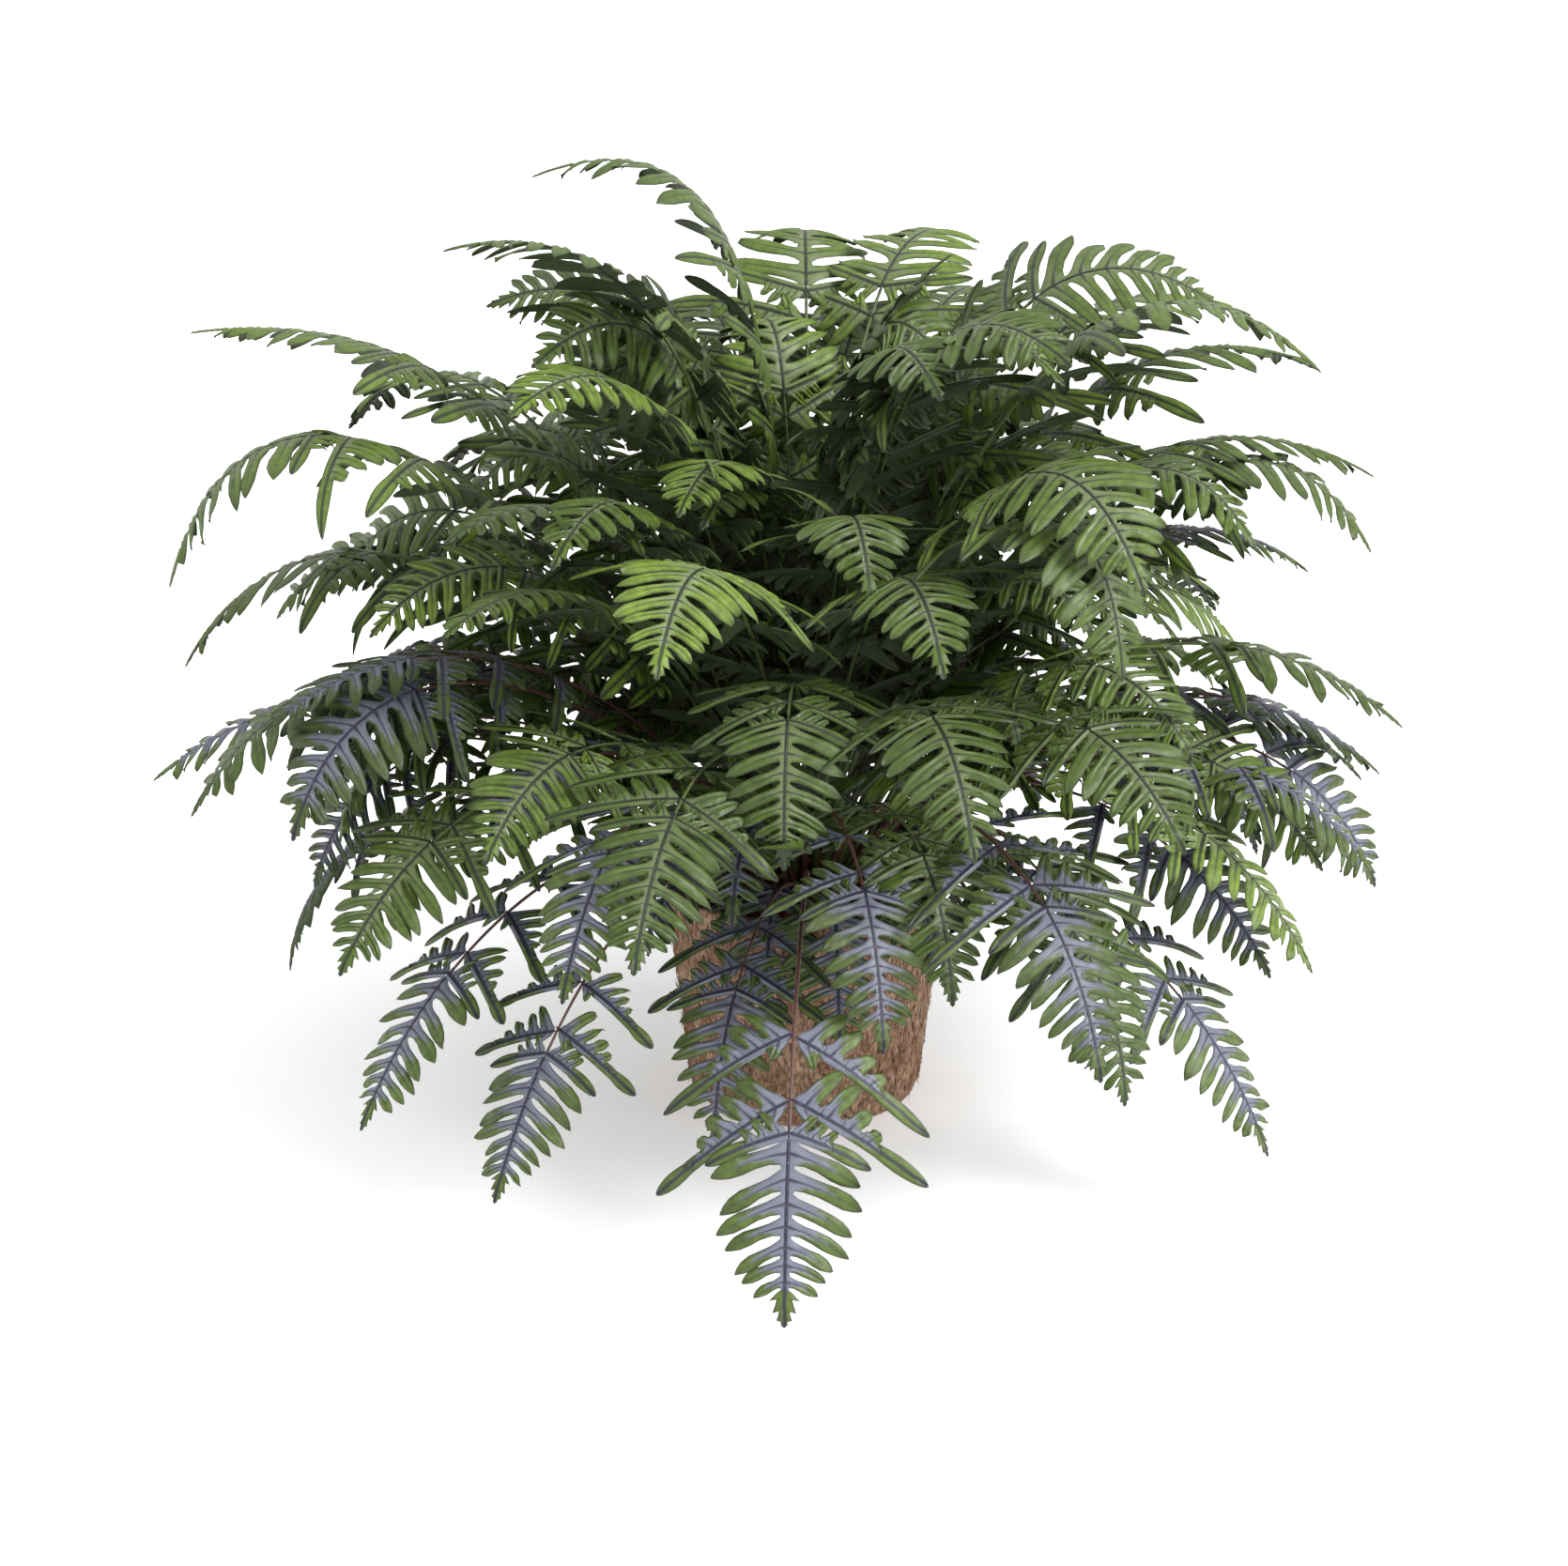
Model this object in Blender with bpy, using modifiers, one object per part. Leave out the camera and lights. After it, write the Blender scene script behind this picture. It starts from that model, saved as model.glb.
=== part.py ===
"""Potted fern, in metres, +Z up, with the origin at the middle of the pot's underside and -Y the front.

A tapered pot of moulded coir fibre holds a plug of soil. A low crown sits on the soil, and every frond
grows straight out of the crown, arches over and ends in a lobed blade. Each frond is one solid: a stem
(the rachis) with pairs of side leaflets (the pinnae), each toothed on the side that faces the crown.
"""

import math
import random

import bmesh
import bpy
from mathutils import Matrix, Vector
from mathutils.bvhtree import BVHTree

# The pot.
POT_HEIGHT = 0.165
POT_BASE_RADIUS = 0.082
POT_RIM_RADIUS = 0.101
POT_WALL = 0.009
POT_FLOOR = 0.010
POT_FOOT_ROUND = 0.010
POT_RIM_ROUND = 0.003
TURN_STEPS = 36

# What the pot holds. The stems lean in by STEM_LEAN degrees from square to the crown's surface.
FIT = 0.0003
SOIL_BELOW_RIM = 0.012
CROWN_ROUND = 0.060
CROWN_RISE = 0.036
CROWN_ARC_STEPS = 5
STEM_LEAN = 13.0
STEM_GAP = 0.0010

# The foliage as a whole. A frond's reach and tip height are given in hundredths of these two lengths.
FOLIAGE_RADIUS = 0.460
FOLIAGE_HEIGHT = 0.660

# How one frond differs from the next, in degrees and as a share of a leaf's size.
SWAY_VARIES = 9.0
ANGLE_VARIES = 5.0
SIZE_VARIES = 0.10
HABIT_SEED = 7

# One frond, with leaves of the size that a rachis of FULL_LENGTH carries.
FULL_LENGTH = 0.500
LEAST_SIZE = 0.80
LARGEST_SIZE = 1.12
STEM_THICK = 0.0032
LEAF_THICK = 0.0008
STEM_HALF_BASE = 0.0019
STEM_HALF_TIP = 0.0009
STEM_SEGMENT = 0.060
BLADE_LENGTH = 0.134
BLADE_HALF_WIDTH = 0.048
BLADE_LOBES = 6
BLADE_NECK = 0.014
PINNA_LENGTH = 0.098
PINNA_DEPTH = 0.031
PINNA_NOTCH = 0.005
PINNA_BASE = 0.009
PINNA_ANGLE = 64.0
PINNA_SPACING = 0.046
PINNA_SPACING_GROWTH = 1.16
PINNA_TEETH = 3
DROOP = 1.9
CURVE_STEPS = 48

# The free space kept between fronds, and how far one may be turned (degrees) or lifted to find it.
LEAF_CLEARANCE = 0.0012
TURN_STEP = 2.0
LIFT_STEP = 0.007
NUDGES_EACH_WAY = 16

# Where each frond goes: its tip's bearing (degrees from the front, positive towards +X), the angle at
# which it rises from the crown, its tip's reach and height (hundredths of the foliage's radius and
# height), the angle at which the tip falls, its roll about the rachis, and its pairs of pinnae. The
# outer fronds give the fern its outline, and the inner ones fill it from behind and within.
SILVER = [
    (-2, 46, 93, 4, 76, 0, 2),
    (-33, 48, 80, 8, 64, 4, 2),
    (-13, 46, 58, 11, 88, 0, 2),
    (-47, 50, 86, 13, 62, 6, 3),
    (52, 44, 84, 8, 66, -4, 2),
    (71, 52, 88, 29, 56, -6, 3),
    (88, 56, 88, 37, 46, -6, 3),
    (102, 54, 90, 32, 50, -6, 3),
    (97, 70, 78, 57, 40, -8, 3),
    (-84, 56, 99, 38, 40, 4, 3),
    (-62, 64, 87, 50, 36, 8, 3),
    (-80, 46, 80, 16, 84, 4, 3),
]
GREEN = [
    (33, 54, 77, 17, 86, 0, 3),
    (60, 62, 84, 25, 62, -8, 3),
    (84, 66, 90, 45, 42, -6, 3),
    (90, 75, 85, 69, 32, -8, 3),
    (76, 66, 84, 63, 62, 0, 3),
    (106, 77, 83, 77, 28, -8, 3),
    (79, 80, 77, 84, 42, -10, 3),
    (116, 83, 76, 82, 25, -6, 3),
    (136, 72, 74, 79, 30, 0, 3),
    (154, 86, 52, 91, 22, 0, 3),
    (72, 89, 22, 93, -35, 0, 3),
    (-92, 88, 40, 100, 22, 6, 3),
    (-60, 84, 58, 96, 10, 10, 3),
    (-86, 78, 90, 85, 8, 10, 3),
    (-109, 70, 80, 70, 52, 6, 3),
    (-72, 72, 95, 61, 74, 6, 3),
    (-88, 68, 94, 49, 62, 6, 3),
    (-69, 61, 95, 45, 60, 6, 3),
    (-75, 50, 72, 34, 84, 4, 3),
    (-57, 62, 76, 27, 74, 8, 3),
    (-3, 80, 62, 41, 96, 0, 3),
    (-47, 76, 68, 70, 24, 8, 3),
    (36, 78, 72, 59, 84, -6, 3),
    (-46, 68, 70, 61, 30, 10, 3),
    (17, 62, 68, 28, 78, -4, 3),
]
SILVER_INNER = [
    (150, 44, 84, 16, 66, 0, 2),
    (-142, 42, 80, 14, 70, 0, 2),
    (-115, 46, 88, 24, 60, 0, 3),
    (122, 46, 86, 20, 64, 0, 2),
]
GREEN_INNER = [
    (10, 82, 50, 71, 58, 0, 2),
    (-24, 84, 44, 78, 40, 0, 2),
    (48, 84, 48, 78, 38, -6, 2),
    (-122, 64, 88, 48, 52, 0, 3),
    (-134, 74, 82, 66, 46, 0, 3),
    (-150, 60, 86, 40, 58, 0, 3),
    (-162, 79, 66, 77, 40, 0, 3),
    (180, 68, 84, 54, 56, 0, 3),
    (165, 56, 84, 34, 62, 0, 3),
    (148, 70, 84, 61, 44, 0, 3),
    (128, 60, 88, 44, 52, 0, 3),
    (-172, 46, 78, 22, 68, 0, 3),
    (-130, 82, 56, 84, 24, 0, 2),
    (104, 60, 70, 44, 60, 0, 2),
    (-26, 62, 62, 33, 80, 0, 2),
]

FIBRE = ("coir_fibre", (0.215, 0.110, 0.062), 0.95)
SOIL = ("potting_soil", (0.052, 0.026, 0.016), 1.0)
RHIZOME = ("rhizome", (0.088, 0.042, 0.022), 0.92)
SILVER_LEAF = ("silver_leaf", (0.33, 0.36, 0.46), 0.58)
GREEN_LEAF = ("green_leaf", (0.085, 0.165, 0.035), 0.62)


def clear_scene():
    for old in list(bpy.data.objects):
        bpy.data.objects.remove(old)


def matte(name, colour, roughness):
    """A Principled material of one colour, made once and shared by the objects that have it."""
    made = bpy.data.materials.get(name)
    if made is None:
        made = bpy.data.materials.new(name)
        made.use_nodes = True
        shader = made.node_tree.nodes["Principled BSDF"]
        shader.inputs["Base Color"].default_value = (*colour, 1.0)
        shader.inputs["Roughness"].default_value = roughness
        shader.inputs["Metallic"].default_value = 0.0
        made.diffuse_color = (*colour, 1.0)
    return made


def add_object(name, mesh, finish, collection):
    mesh.materials.append(matte(*finish))
    made = bpy.data.objects.new(name, mesh)
    collection.objects.link(made)
    return made


def turned(name, profile, finish, collection):
    """The profile, as (radius, height) points, turned about Z. It runs down its outer side."""
    mesh = bpy.data.meshes.new(name)
    points = [(radius, 0.0, height) for radius, height in profile]
    mesh.from_pydata(points, [(i, i + 1) for i in range(len(points) - 1)], [])
    made = add_object(name, mesh, finish, collection)
    screw = made.modifiers.new("Turn", "SCREW")
    screw.axis = "Z"
    screw.steps = screw.render_steps = TURN_STEPS
    screw.use_merge_vertices = True
    screw.merge_threshold = 0.00005
    screw.use_smooth_shade = True
    return made


def arc(centre, radius, start, end, steps):
    """Points (radius, height) round an arc, from one angle to the other, in degrees."""
    angles = [math.radians(start + (end - start) * i / steps) for i in range(steps + 1)]
    return [(centre[0] + radius * math.cos(a), centre[1] + radius * math.sin(a)) for a in angles]


def wall_radius(height):
    """The pot's outer radius at a height: a straight taper from the base to the rim."""
    return POT_BASE_RADIUS + (POT_RIM_RADIUS - POT_BASE_RADIUS) * height / POT_HEIGHT


def make_pot(collection):
    inner_floor = wall_radius(POT_FLOOR) - POT_WALL
    inner_rim = wall_radius(POT_HEIGHT) - POT_WALL
    rim_height = POT_HEIGHT - POT_RIM_ROUND
    rim_inside = arc((inner_rim + POT_RIM_ROUND, rim_height), POT_RIM_ROUND, 180, 90, 2)
    rim_outside = arc((POT_RIM_RADIUS - POT_RIM_ROUND, rim_height), POT_RIM_ROUND, 90, 0, 2)
    foot = arc((POT_BASE_RADIUS - POT_FOOT_ROUND, POT_FOOT_ROUND), POT_FOOT_ROUND, 0, -90, 3)
    profile = [(0.0, POT_FLOOR), (inner_floor, POT_FLOOR), *rim_inside, *rim_outside, *foot, (0.0, 0.0)]
    return turned("fibre_pot", profile, FIBRE, collection)


def soil_level():
    return POT_HEIGHT - SOIL_BELOW_RIM


def make_soil(collection):
    bottom = POT_FLOOR + FIT
    top_radius = wall_radius(soil_level()) - POT_WALL - FIT
    bottom_radius = wall_radius(bottom) - POT_WALL - FIT
    profile = [(0.0, soil_level()), (top_radius, soil_level()), (bottom_radius, bottom), (0.0, bottom)]
    return turned("soil_plug", profile, SOIL, collection)


def crown_centre():
    """The height of the middle of the crown's sphere."""
    return soil_level() + FIT + CROWN_RISE - CROWN_ROUND


def make_crown(collection):
    cut = math.degrees(math.asin((CROWN_ROUND - CROWN_RISE) / CROWN_ROUND))
    dome = arc((0.0, crown_centre()), CROWN_ROUND, 90, cut, CROWN_ARC_STEPS)
    dome[0] = (0.0, dome[0][1])
    return turned("crown", [*dome, (0.0, dome[-1][1])], RHIZOME, collection)


class Habit:
    """How one frond differs from the next, drawn from a seeded source."""

    def __init__(self, draw):
        self.sway = math.radians(draw.uniform(-SWAY_VARIES, SWAY_VARIES))
        self.blade = draw.uniform(1.0 - SIZE_VARIES, 1.0 + SIZE_VARIES)
        self.pinna = draw.uniform(1.0 - SIZE_VARIES, 1.0 + SIZE_VARIES)
        self.angle = math.radians(PINNA_ANGLE + draw.uniform(-ANGLE_VARIES, ANGLE_VARIES))


class Rachis:
    """A frond's stem line in its own frame: it starts at the origin, and +X is away from the pot's axis.

    Its curve has the handles of a round arc that turns as far as from the rise to the fall.
    """

    def __init__(self, spec, sway, lift):
        _, rise, reach, height, fall, roll, _ = spec
        seat = math.radians(rise - STEM_LEAN)
        rise, fall = math.radians(rise), math.radians(fall)
        self.roll = math.radians(roll)
        self.base_radius = (CROWN_ROUND + STEM_GAP) * math.cos(seat)
        self.base_height = crown_centre() + (CROWN_ROUND + STEM_GAP) * math.sin(seat)
        reach = reach / 100 * FOLIAGE_RADIUS
        tip = Vector((reach * math.cos(sway) - self.base_radius, reach * math.sin(sway), 0.0))
        tip.z = height / 100 * FOLIAGE_HEIGHT + lift - self.base_height
        up = Vector((math.cos(rise), 0.0, math.sin(rise)))
        down = Vector((math.cos(sway) * math.cos(fall), math.sin(sway) * math.cos(fall), -math.sin(fall)))
        handle = tip.length * 2 / 3 * math.tan((rise + fall) / 4) / math.sin((rise + fall) / 2)
        control = (Vector(), up * handle, tip - down * handle, tip)
        self.samples = [bezier(control, i / CURVE_STEPS) for i in range(CURVE_STEPS + 1)]
        self.lengths = [0.0]
        for (before, _), (after, _) in zip(self.samples, self.samples[1:]):
            self.lengths.append(self.lengths[-1] + (after - before).length)
        self.length = self.lengths[-1]

    def at(self, u):
        """The place and direction at a distance u from the base, straight on past the tip."""
        if u >= self.length:
            place, along = self.samples[-1]
            return place + along * (u - self.length), along
        i = next(k for k in range(CURVE_STEPS) if self.lengths[k + 1] >= u)
        share = (u - self.lengths[i]) / (self.lengths[i + 1] - self.lengths[i])
        place = self.samples[i][0].lerp(self.samples[i + 1][0], share)
        return place, self.samples[i][1].lerp(self.samples[i + 1][1], share).normalized()

    def surface(self, u, v):
        """A point of the leaf surface: u along the rachis, and v to its right, which droops outwards."""
        place, along = self.at(u)
        across = along.cross(Vector((0.0, 0.0, 1.0))).normalized()
        across = Matrix.Rotation(self.roll * min(1.0, u / self.length), 3, along) @ across
        return place + across * v - across.cross(along) * (DROOP * v * v)


def bezier(control, t):
    """The place and the direction of a cubic curve at t."""
    a, b, c, d = control
    s = 1.0 - t
    place = a * s**3 + b * 3 * s * s * t + c * 3 * s * t * t + d * t**3
    along = (b - a) * s * s + (c - b) * 2 * s * t + (d - c) * t * t
    return place, along.normalized()


def stations(length, size, habit, pairs):
    """Distances along the rachis: of each pinna's root, of the blade's start, and of every cross edge."""
    blade = length - BLADE_LENGTH * habit.blade * size
    roots = []
    free = blade - BLADE_NECK * size
    spacing = PINNA_SPACING * size
    for _ in range(pairs):
        roots.insert(0, free - PINNA_BASE * size)
        free -= spacing
        spacing *= PINNA_SPACING_GROWTH
    bare = max(2, round(roots[0] / STEM_SEGMENT))
    marks = [roots[0] * i / bare for i in range(bare)]
    for root in roots:
        marks += [root, root + PINNA_BASE * size]
    marks += [blade + (length - blade) * i / (BLADE_LOBES + 1) for i in range(BLADE_LOBES + 1)]
    return roots, blade, marks


def pinna_outline(root, size, habit):
    """Points (u, v) round a pinna: each tooth of its belly and the notch beyond it, then the tip."""
    length = PINNA_LENGTH * habit.pinna * size
    cos, sin = math.cos(habit.angle), math.sin(habit.angle)
    points = []
    for tooth in range(PINNA_TEETH):
        out = (0.14 + 0.21 * tooth) * length
        depth = PINNA_DEPTH * size * (1.0 - 0.20 * tooth)
        points += [(out, -depth), (out + 0.13 * length, -PINNA_NOTCH * size)]
    points.append((length, 0.0))
    middle = root + PINNA_BASE * size / 2
    return [(middle + out * cos + off * sin, out * sin - off * cos) for out, off in points]


def lobe_outline(start, width, share, size):
    """The two outer points (u, v) of one lobe of the blade, swept towards the tip."""
    half = BLADE_HALF_WIDTH * size * (1.0 - share) ** 0.8
    sweep = 0.42 * half
    return [(start + 0.36 * width + sweep, half), (start + 0.70 * width + sweep, half * 0.93)]


def frond_mesh(name, rachis, habit, pairs):
    """The frond as an open sheet, and how many of its first points lie on the stem."""
    size = min(LARGEST_SIZE, max(LEAST_SIZE, rachis.length / FULL_LENGTH))
    roots, blade, marks = stations(rachis.length, size, habit, pairs)
    sheet = bmesh.new()
    rails = {side: [] for side in (1, -1)}
    for mark in marks:
        half = STEM_HALF_BASE + (STEM_HALF_TIP - STEM_HALF_BASE) * mark / rachis.length
        for side, rail in rails.items():
            rail.append(sheet.verts.new(rachis.surface(mark, side * half)))
    tip = sheet.verts.new(rachis.surface(rachis.length, 0.0))
    for i in range(len(marks) - 1):
        sheet.faces.new((rails[1][i], rails[1][i + 1], rails[-1][i + 1], rails[-1][i]))
    sheet.faces.new((rails[1][-1], tip, rails[-1][-1]))
    stem_points = len(sheet.verts)
    for i, mark in enumerate(marks[:-1]):
        if mark in roots:
            outline = pinna_outline(mark, size, habit)
        elif mark >= blade:
            share = (mark - blade) / (rachis.length - blade)
            outline = lobe_outline(mark, marks[i + 1] - mark, share, size)
        else:
            continue
        for side, rail in rails.items():
            outer = [sheet.verts.new(rachis.surface(u, side * v)) for u, v in outline]
            for k in range(0, len(outer), 2):
                near = outer[k - 1] if k else rail[i]
                face = (near, *outer[k : k + 2], rail[i + 1])
                sheet.faces.new(face if side == 1 else face[::-1])
    mesh = bpy.data.meshes.new(name)
    sheet.to_mesh(mesh)
    sheet.free()
    return mesh, stem_points


def shape_frond(frond, spec, habit, turn, lift):
    """Gives the frond object the shape and the place that the spec asks for, after a turn and a lift."""
    rachis = Rachis(spec, habit.sway, lift)
    mesh, stem_points = frond_mesh(frond.name, rachis, habit, spec[-1])
    mesh.materials.append(frond.data.materials[0])
    old = frond.data
    frond.data = mesh
    bpy.data.meshes.remove(old)
    group = frond.vertex_groups.get("stem") or frond.vertex_groups.new(name="stem")
    group.add(range(stem_points), 1.0, "REPLACE")
    bearing = math.radians(spec[0] + turn) - habit.sway
    outward = Vector((math.sin(bearing), -math.cos(bearing), 0.0))
    frond.location = outward * rachis.base_radius + Vector((0.0, 0.0, rachis.base_height))
    frond.rotation_euler.z = bearing - math.pi / 2


def tree_of(made):
    """The object's evaluated surface in world space, for overlap tests."""
    bpy.context.view_layer.update()
    evaluated = made.evaluated_get(bpy.context.evaluated_depsgraph_get())
    mesh = evaluated.to_mesh()
    points = [made.matrix_world @ vertex.co for vertex in mesh.vertices]
    faces = [tuple(face.vertices) for face in mesh.polygons]
    evaluated.to_mesh_clear()
    return BVHTree.FromPolygons(points, faces)


def nudges():
    """Turns (degrees) and lifts (metres) to try, the smallest first."""
    steps = range(-NUDGES_EACH_WAY, NUDGES_EACH_WAY + 1)
    pairs = [(turn, lift) for turn in steps for lift in steps]
    pairs.sort(key=lambda pair: (abs(pair[0]) + abs(pair[1]), pair))
    return [(turn * TURN_STEP, lift * LIFT_STEP) for turn, lift in pairs]


def make_frond(name, spec, finish, habit, others, collection):
    """Adds one frond, at the least turn and lift that leave it clear of the others."""
    frond = add_object(name, bpy.data.meshes.new(name), finish, collection)
    thick = frond.modifiers.new("Thickness", "SOLIDIFY")
    thick.offset = 0.0
    thick.vertex_group = "stem"
    thick.thickness_vertex_group = LEAF_THICK / STEM_THICK
    thick.thickness = STEM_THICK + LEAF_CLEARANCE
    for turn, lift in nudges():
        shape_frond(frond, spec, habit, turn, lift)
        surface = tree_of(frond)
        if not any(surface.overlap(other) for other in others):
            break
    thick.thickness = STEM_THICK
    others.append(surface)
    return frond


def main():
    clear_scene()
    collection = bpy.data.collections.new("potted_fern")
    bpy.context.scene.collection.children.link(collection)
    others = [tree_of(make(collection)) for make in (make_pot, make_soil)]
    make_crown(collection)
    draw = random.Random(HABIT_SEED)
    for silver, green in ((SILVER, GREEN), (SILVER_INNER, GREEN_INNER)):
        fronds = [("silver", spec, SILVER_LEAF, Habit(draw)) for spec in silver]
        fronds += [("green", spec, GREEN_LEAF, Habit(draw)) for spec in green]
        # The steepest stand closest together, so they take their places first.
        fronds.sort(key=lambda frond: -frond[1][1])
        for kind, spec, finish, habit in fronds:
            number = 1 + sum(made.name.startswith(kind) for made in collection.objects)
            make_frond(f"{kind}_frond_{number:02d}", spec, finish, habit, others, collection)


main()
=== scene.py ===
"""Looks of the potted fern, in metres, +Z up, with -Y the front.

Each pot, soil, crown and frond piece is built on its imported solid. Young fronds fill the space between."""

import math
import random

import bpy
import numpy as np
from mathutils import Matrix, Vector, noise


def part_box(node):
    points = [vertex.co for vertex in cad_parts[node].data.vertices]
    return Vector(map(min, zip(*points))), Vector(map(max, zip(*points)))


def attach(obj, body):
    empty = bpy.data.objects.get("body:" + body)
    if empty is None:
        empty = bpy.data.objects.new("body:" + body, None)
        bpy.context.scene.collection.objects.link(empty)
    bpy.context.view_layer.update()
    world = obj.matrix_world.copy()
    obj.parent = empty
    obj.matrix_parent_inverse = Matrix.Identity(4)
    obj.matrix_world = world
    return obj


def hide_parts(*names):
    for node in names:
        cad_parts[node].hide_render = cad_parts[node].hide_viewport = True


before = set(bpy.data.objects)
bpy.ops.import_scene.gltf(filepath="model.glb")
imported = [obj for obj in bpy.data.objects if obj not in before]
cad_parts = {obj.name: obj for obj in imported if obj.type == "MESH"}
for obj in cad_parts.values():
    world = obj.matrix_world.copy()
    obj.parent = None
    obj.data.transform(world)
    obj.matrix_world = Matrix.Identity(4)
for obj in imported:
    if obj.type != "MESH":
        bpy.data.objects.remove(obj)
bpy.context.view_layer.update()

# The pot and what it holds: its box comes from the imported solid, the rest repeats that solid's sizes.
POT_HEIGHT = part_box("fibre_pot")[1].z
POT_RIM_RADIUS = 0.101
POT_BASE_RADIUS = 0.082
POT_WALL = 0.009
POT_FOOT_ROUND = 0.010
POT_RIM_ROUND = 0.004
SOIL_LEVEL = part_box("soil_plug")[1].z
CROWN_ROUND = 0.060
CROWN_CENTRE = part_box("crown")[1].z - CROWN_ROUND
STEM_LEAN = 13.0
STEM_GAP = 0.0010

# Points round the turned pieces, and how many loose bits lie on each.
POT_AROUND, SOIL_AROUND, CROWN_AROUND = 420, 220, 90
WALL_STRANDS, SOIL_CHIPS, SOIL_STRANDS, CROWN_SCALES = 620, 520, 150, 260
POT_SEED, SOIL_SEED, CROWN_SEED = 31, 77, 5
# What their lengths, thicknesses and sizes run between, in metres.
WALL_STRAND_LENGTHS, WALL_STRAND_RADII = (0.010, 0.034), (0.00016, 0.00034)
SOIL_STRAND_LENGTHS, SOIL_STRAND_RADII = (0.008, 0.022), (0.0002, 0.0004)
CHIP_SIZES, SCALE_LENGTHS = (0.0012, 0.0042), (0.006, 0.012)
# How far the highest fibre stands out from the pot's wall, and how far the mat is sunk under it.
FIBRE_RELIEF, FIBRE_SUNK = 0.0013, 0.0004
# The wall's usual radius, which turns a strand's length round the pot into a bearing.
STRAND_RADIUS = 0.09

# The foliage: the same driving sizes as the fronds' solids.
FOLIAGE_RADIUS = 0.460
FOLIAGE_HEIGHT = 0.660
SWAY_VARIES = 9.0
ANGLE_VARIES = 5.0
SIZE_VARIES = 0.10
HABIT_SEED = 7
FULL_LENGTH = 0.500
LEAST_SIZE = 0.80
LARGEST_SIZE = 1.12
BLADE_LENGTH = 0.134
BLADE_NECK = 0.014
PINNA_LENGTH = 0.098
PINNA_BASE = 0.009
PINNA_ANGLE = 64.0
PINNA_SPACING = 0.046
PINNA_SPACING_GROWTH = 1.16
DROOP = 1.9
CURVE_STEPS = 48
TURN_STEP = 2.0
LIFT_STEP = 0.007
NUDGES_EACH_WAY = 16

# Where each frond goes: its tip's bearing (degrees from the front, positive towards +X), the angle at
# which it rises from the crown, its tip's reach and height (hundredths of the foliage's radius and
# height), the angle at which the tip falls, its roll about the rachis, and its pairs of pinnae.
SILVER = [
    (-2, 46, 93, 4, 76, 0, 2),
    (-33, 48, 80, 8, 64, 4, 2),
    (-13, 46, 58, 11, 88, 0, 2),
    (-47, 50, 86, 13, 62, 6, 3),
    (52, 44, 84, 8, 66, -4, 2),
    (71, 52, 88, 29, 56, -6, 3),
    (88, 56, 88, 37, 46, -6, 3),
    (102, 54, 90, 32, 50, -6, 3),
    (97, 70, 78, 57, 40, -8, 3),
    (-84, 56, 99, 38, 40, 4, 3),
    (-62, 64, 87, 50, 36, 8, 3),
    (-80, 46, 80, 16, 84, 4, 3),
]
GREEN = [
    (33, 54, 77, 17, 86, 0, 3),
    (60, 62, 84, 25, 62, -8, 3),
    (84, 66, 90, 45, 42, -6, 3),
    (90, 75, 85, 69, 32, -8, 3),
    (76, 66, 84, 63, 62, 0, 3),
    (106, 77, 83, 77, 28, -8, 3),
    (79, 80, 77, 84, 42, -10, 3),
    (116, 83, 76, 82, 25, -6, 3),
    (136, 72, 74, 79, 30, 0, 3),
    (154, 86, 52, 91, 22, 0, 3),
    (72, 89, 22, 93, -35, 0, 3),
    (-92, 88, 40, 100, 22, 6, 3),
    (-60, 84, 58, 96, 10, 10, 3),
    (-86, 78, 90, 85, 8, 10, 3),
    (-109, 70, 80, 70, 52, 6, 3),
    (-72, 72, 95, 61, 74, 6, 3),
    (-88, 68, 94, 49, 62, 6, 3),
    (-69, 61, 95, 45, 60, 6, 3),
    (-75, 50, 72, 34, 84, 4, 3),
    (-57, 62, 76, 27, 74, 8, 3),
    (-3, 80, 62, 41, 96, 0, 3),
    (-47, 76, 68, 70, 24, 8, 3),
    (36, 78, 72, 59, 84, -6, 3),
    (-46, 68, 70, 61, 30, 10, 3),
    (17, 62, 68, 28, 78, -4, 3),
]
SILVER_INNER = [
    (150, 44, 84, 16, 66, 0, 2),
    (-142, 42, 80, 14, 70, 0, 2),
    (-115, 46, 88, 24, 60, 0, 3),
    (122, 46, 86, 20, 64, 0, 2),
]
GREEN_INNER = [
    (10, 82, 50, 71, 58, 0, 2),
    (-24, 84, 44, 78, 40, 0, 2),
    (48, 84, 48, 78, 38, -6, 2),
    (-122, 64, 88, 48, 52, 0, 3),
    (-134, 74, 82, 66, 46, 0, 3),
    (-150, 60, 86, 40, 58, 0, 3),
    (-162, 79, 66, 77, 40, 0, 3),
    (180, 68, 84, 54, 56, 0, 3),
    (165, 56, 84, 34, 62, 0, 3),
    (148, 70, 84, 61, 44, 0, 3),
    (128, 60, 88, 44, 52, 0, 3),
    (-172, 46, 78, 22, 68, 0, 3),
    (-130, 82, 56, 84, 24, 0, 2),
    (104, 60, 70, 44, 60, 0, 2),
    (-26, 62, 62, 33, 80, 0, 2),
]

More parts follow.
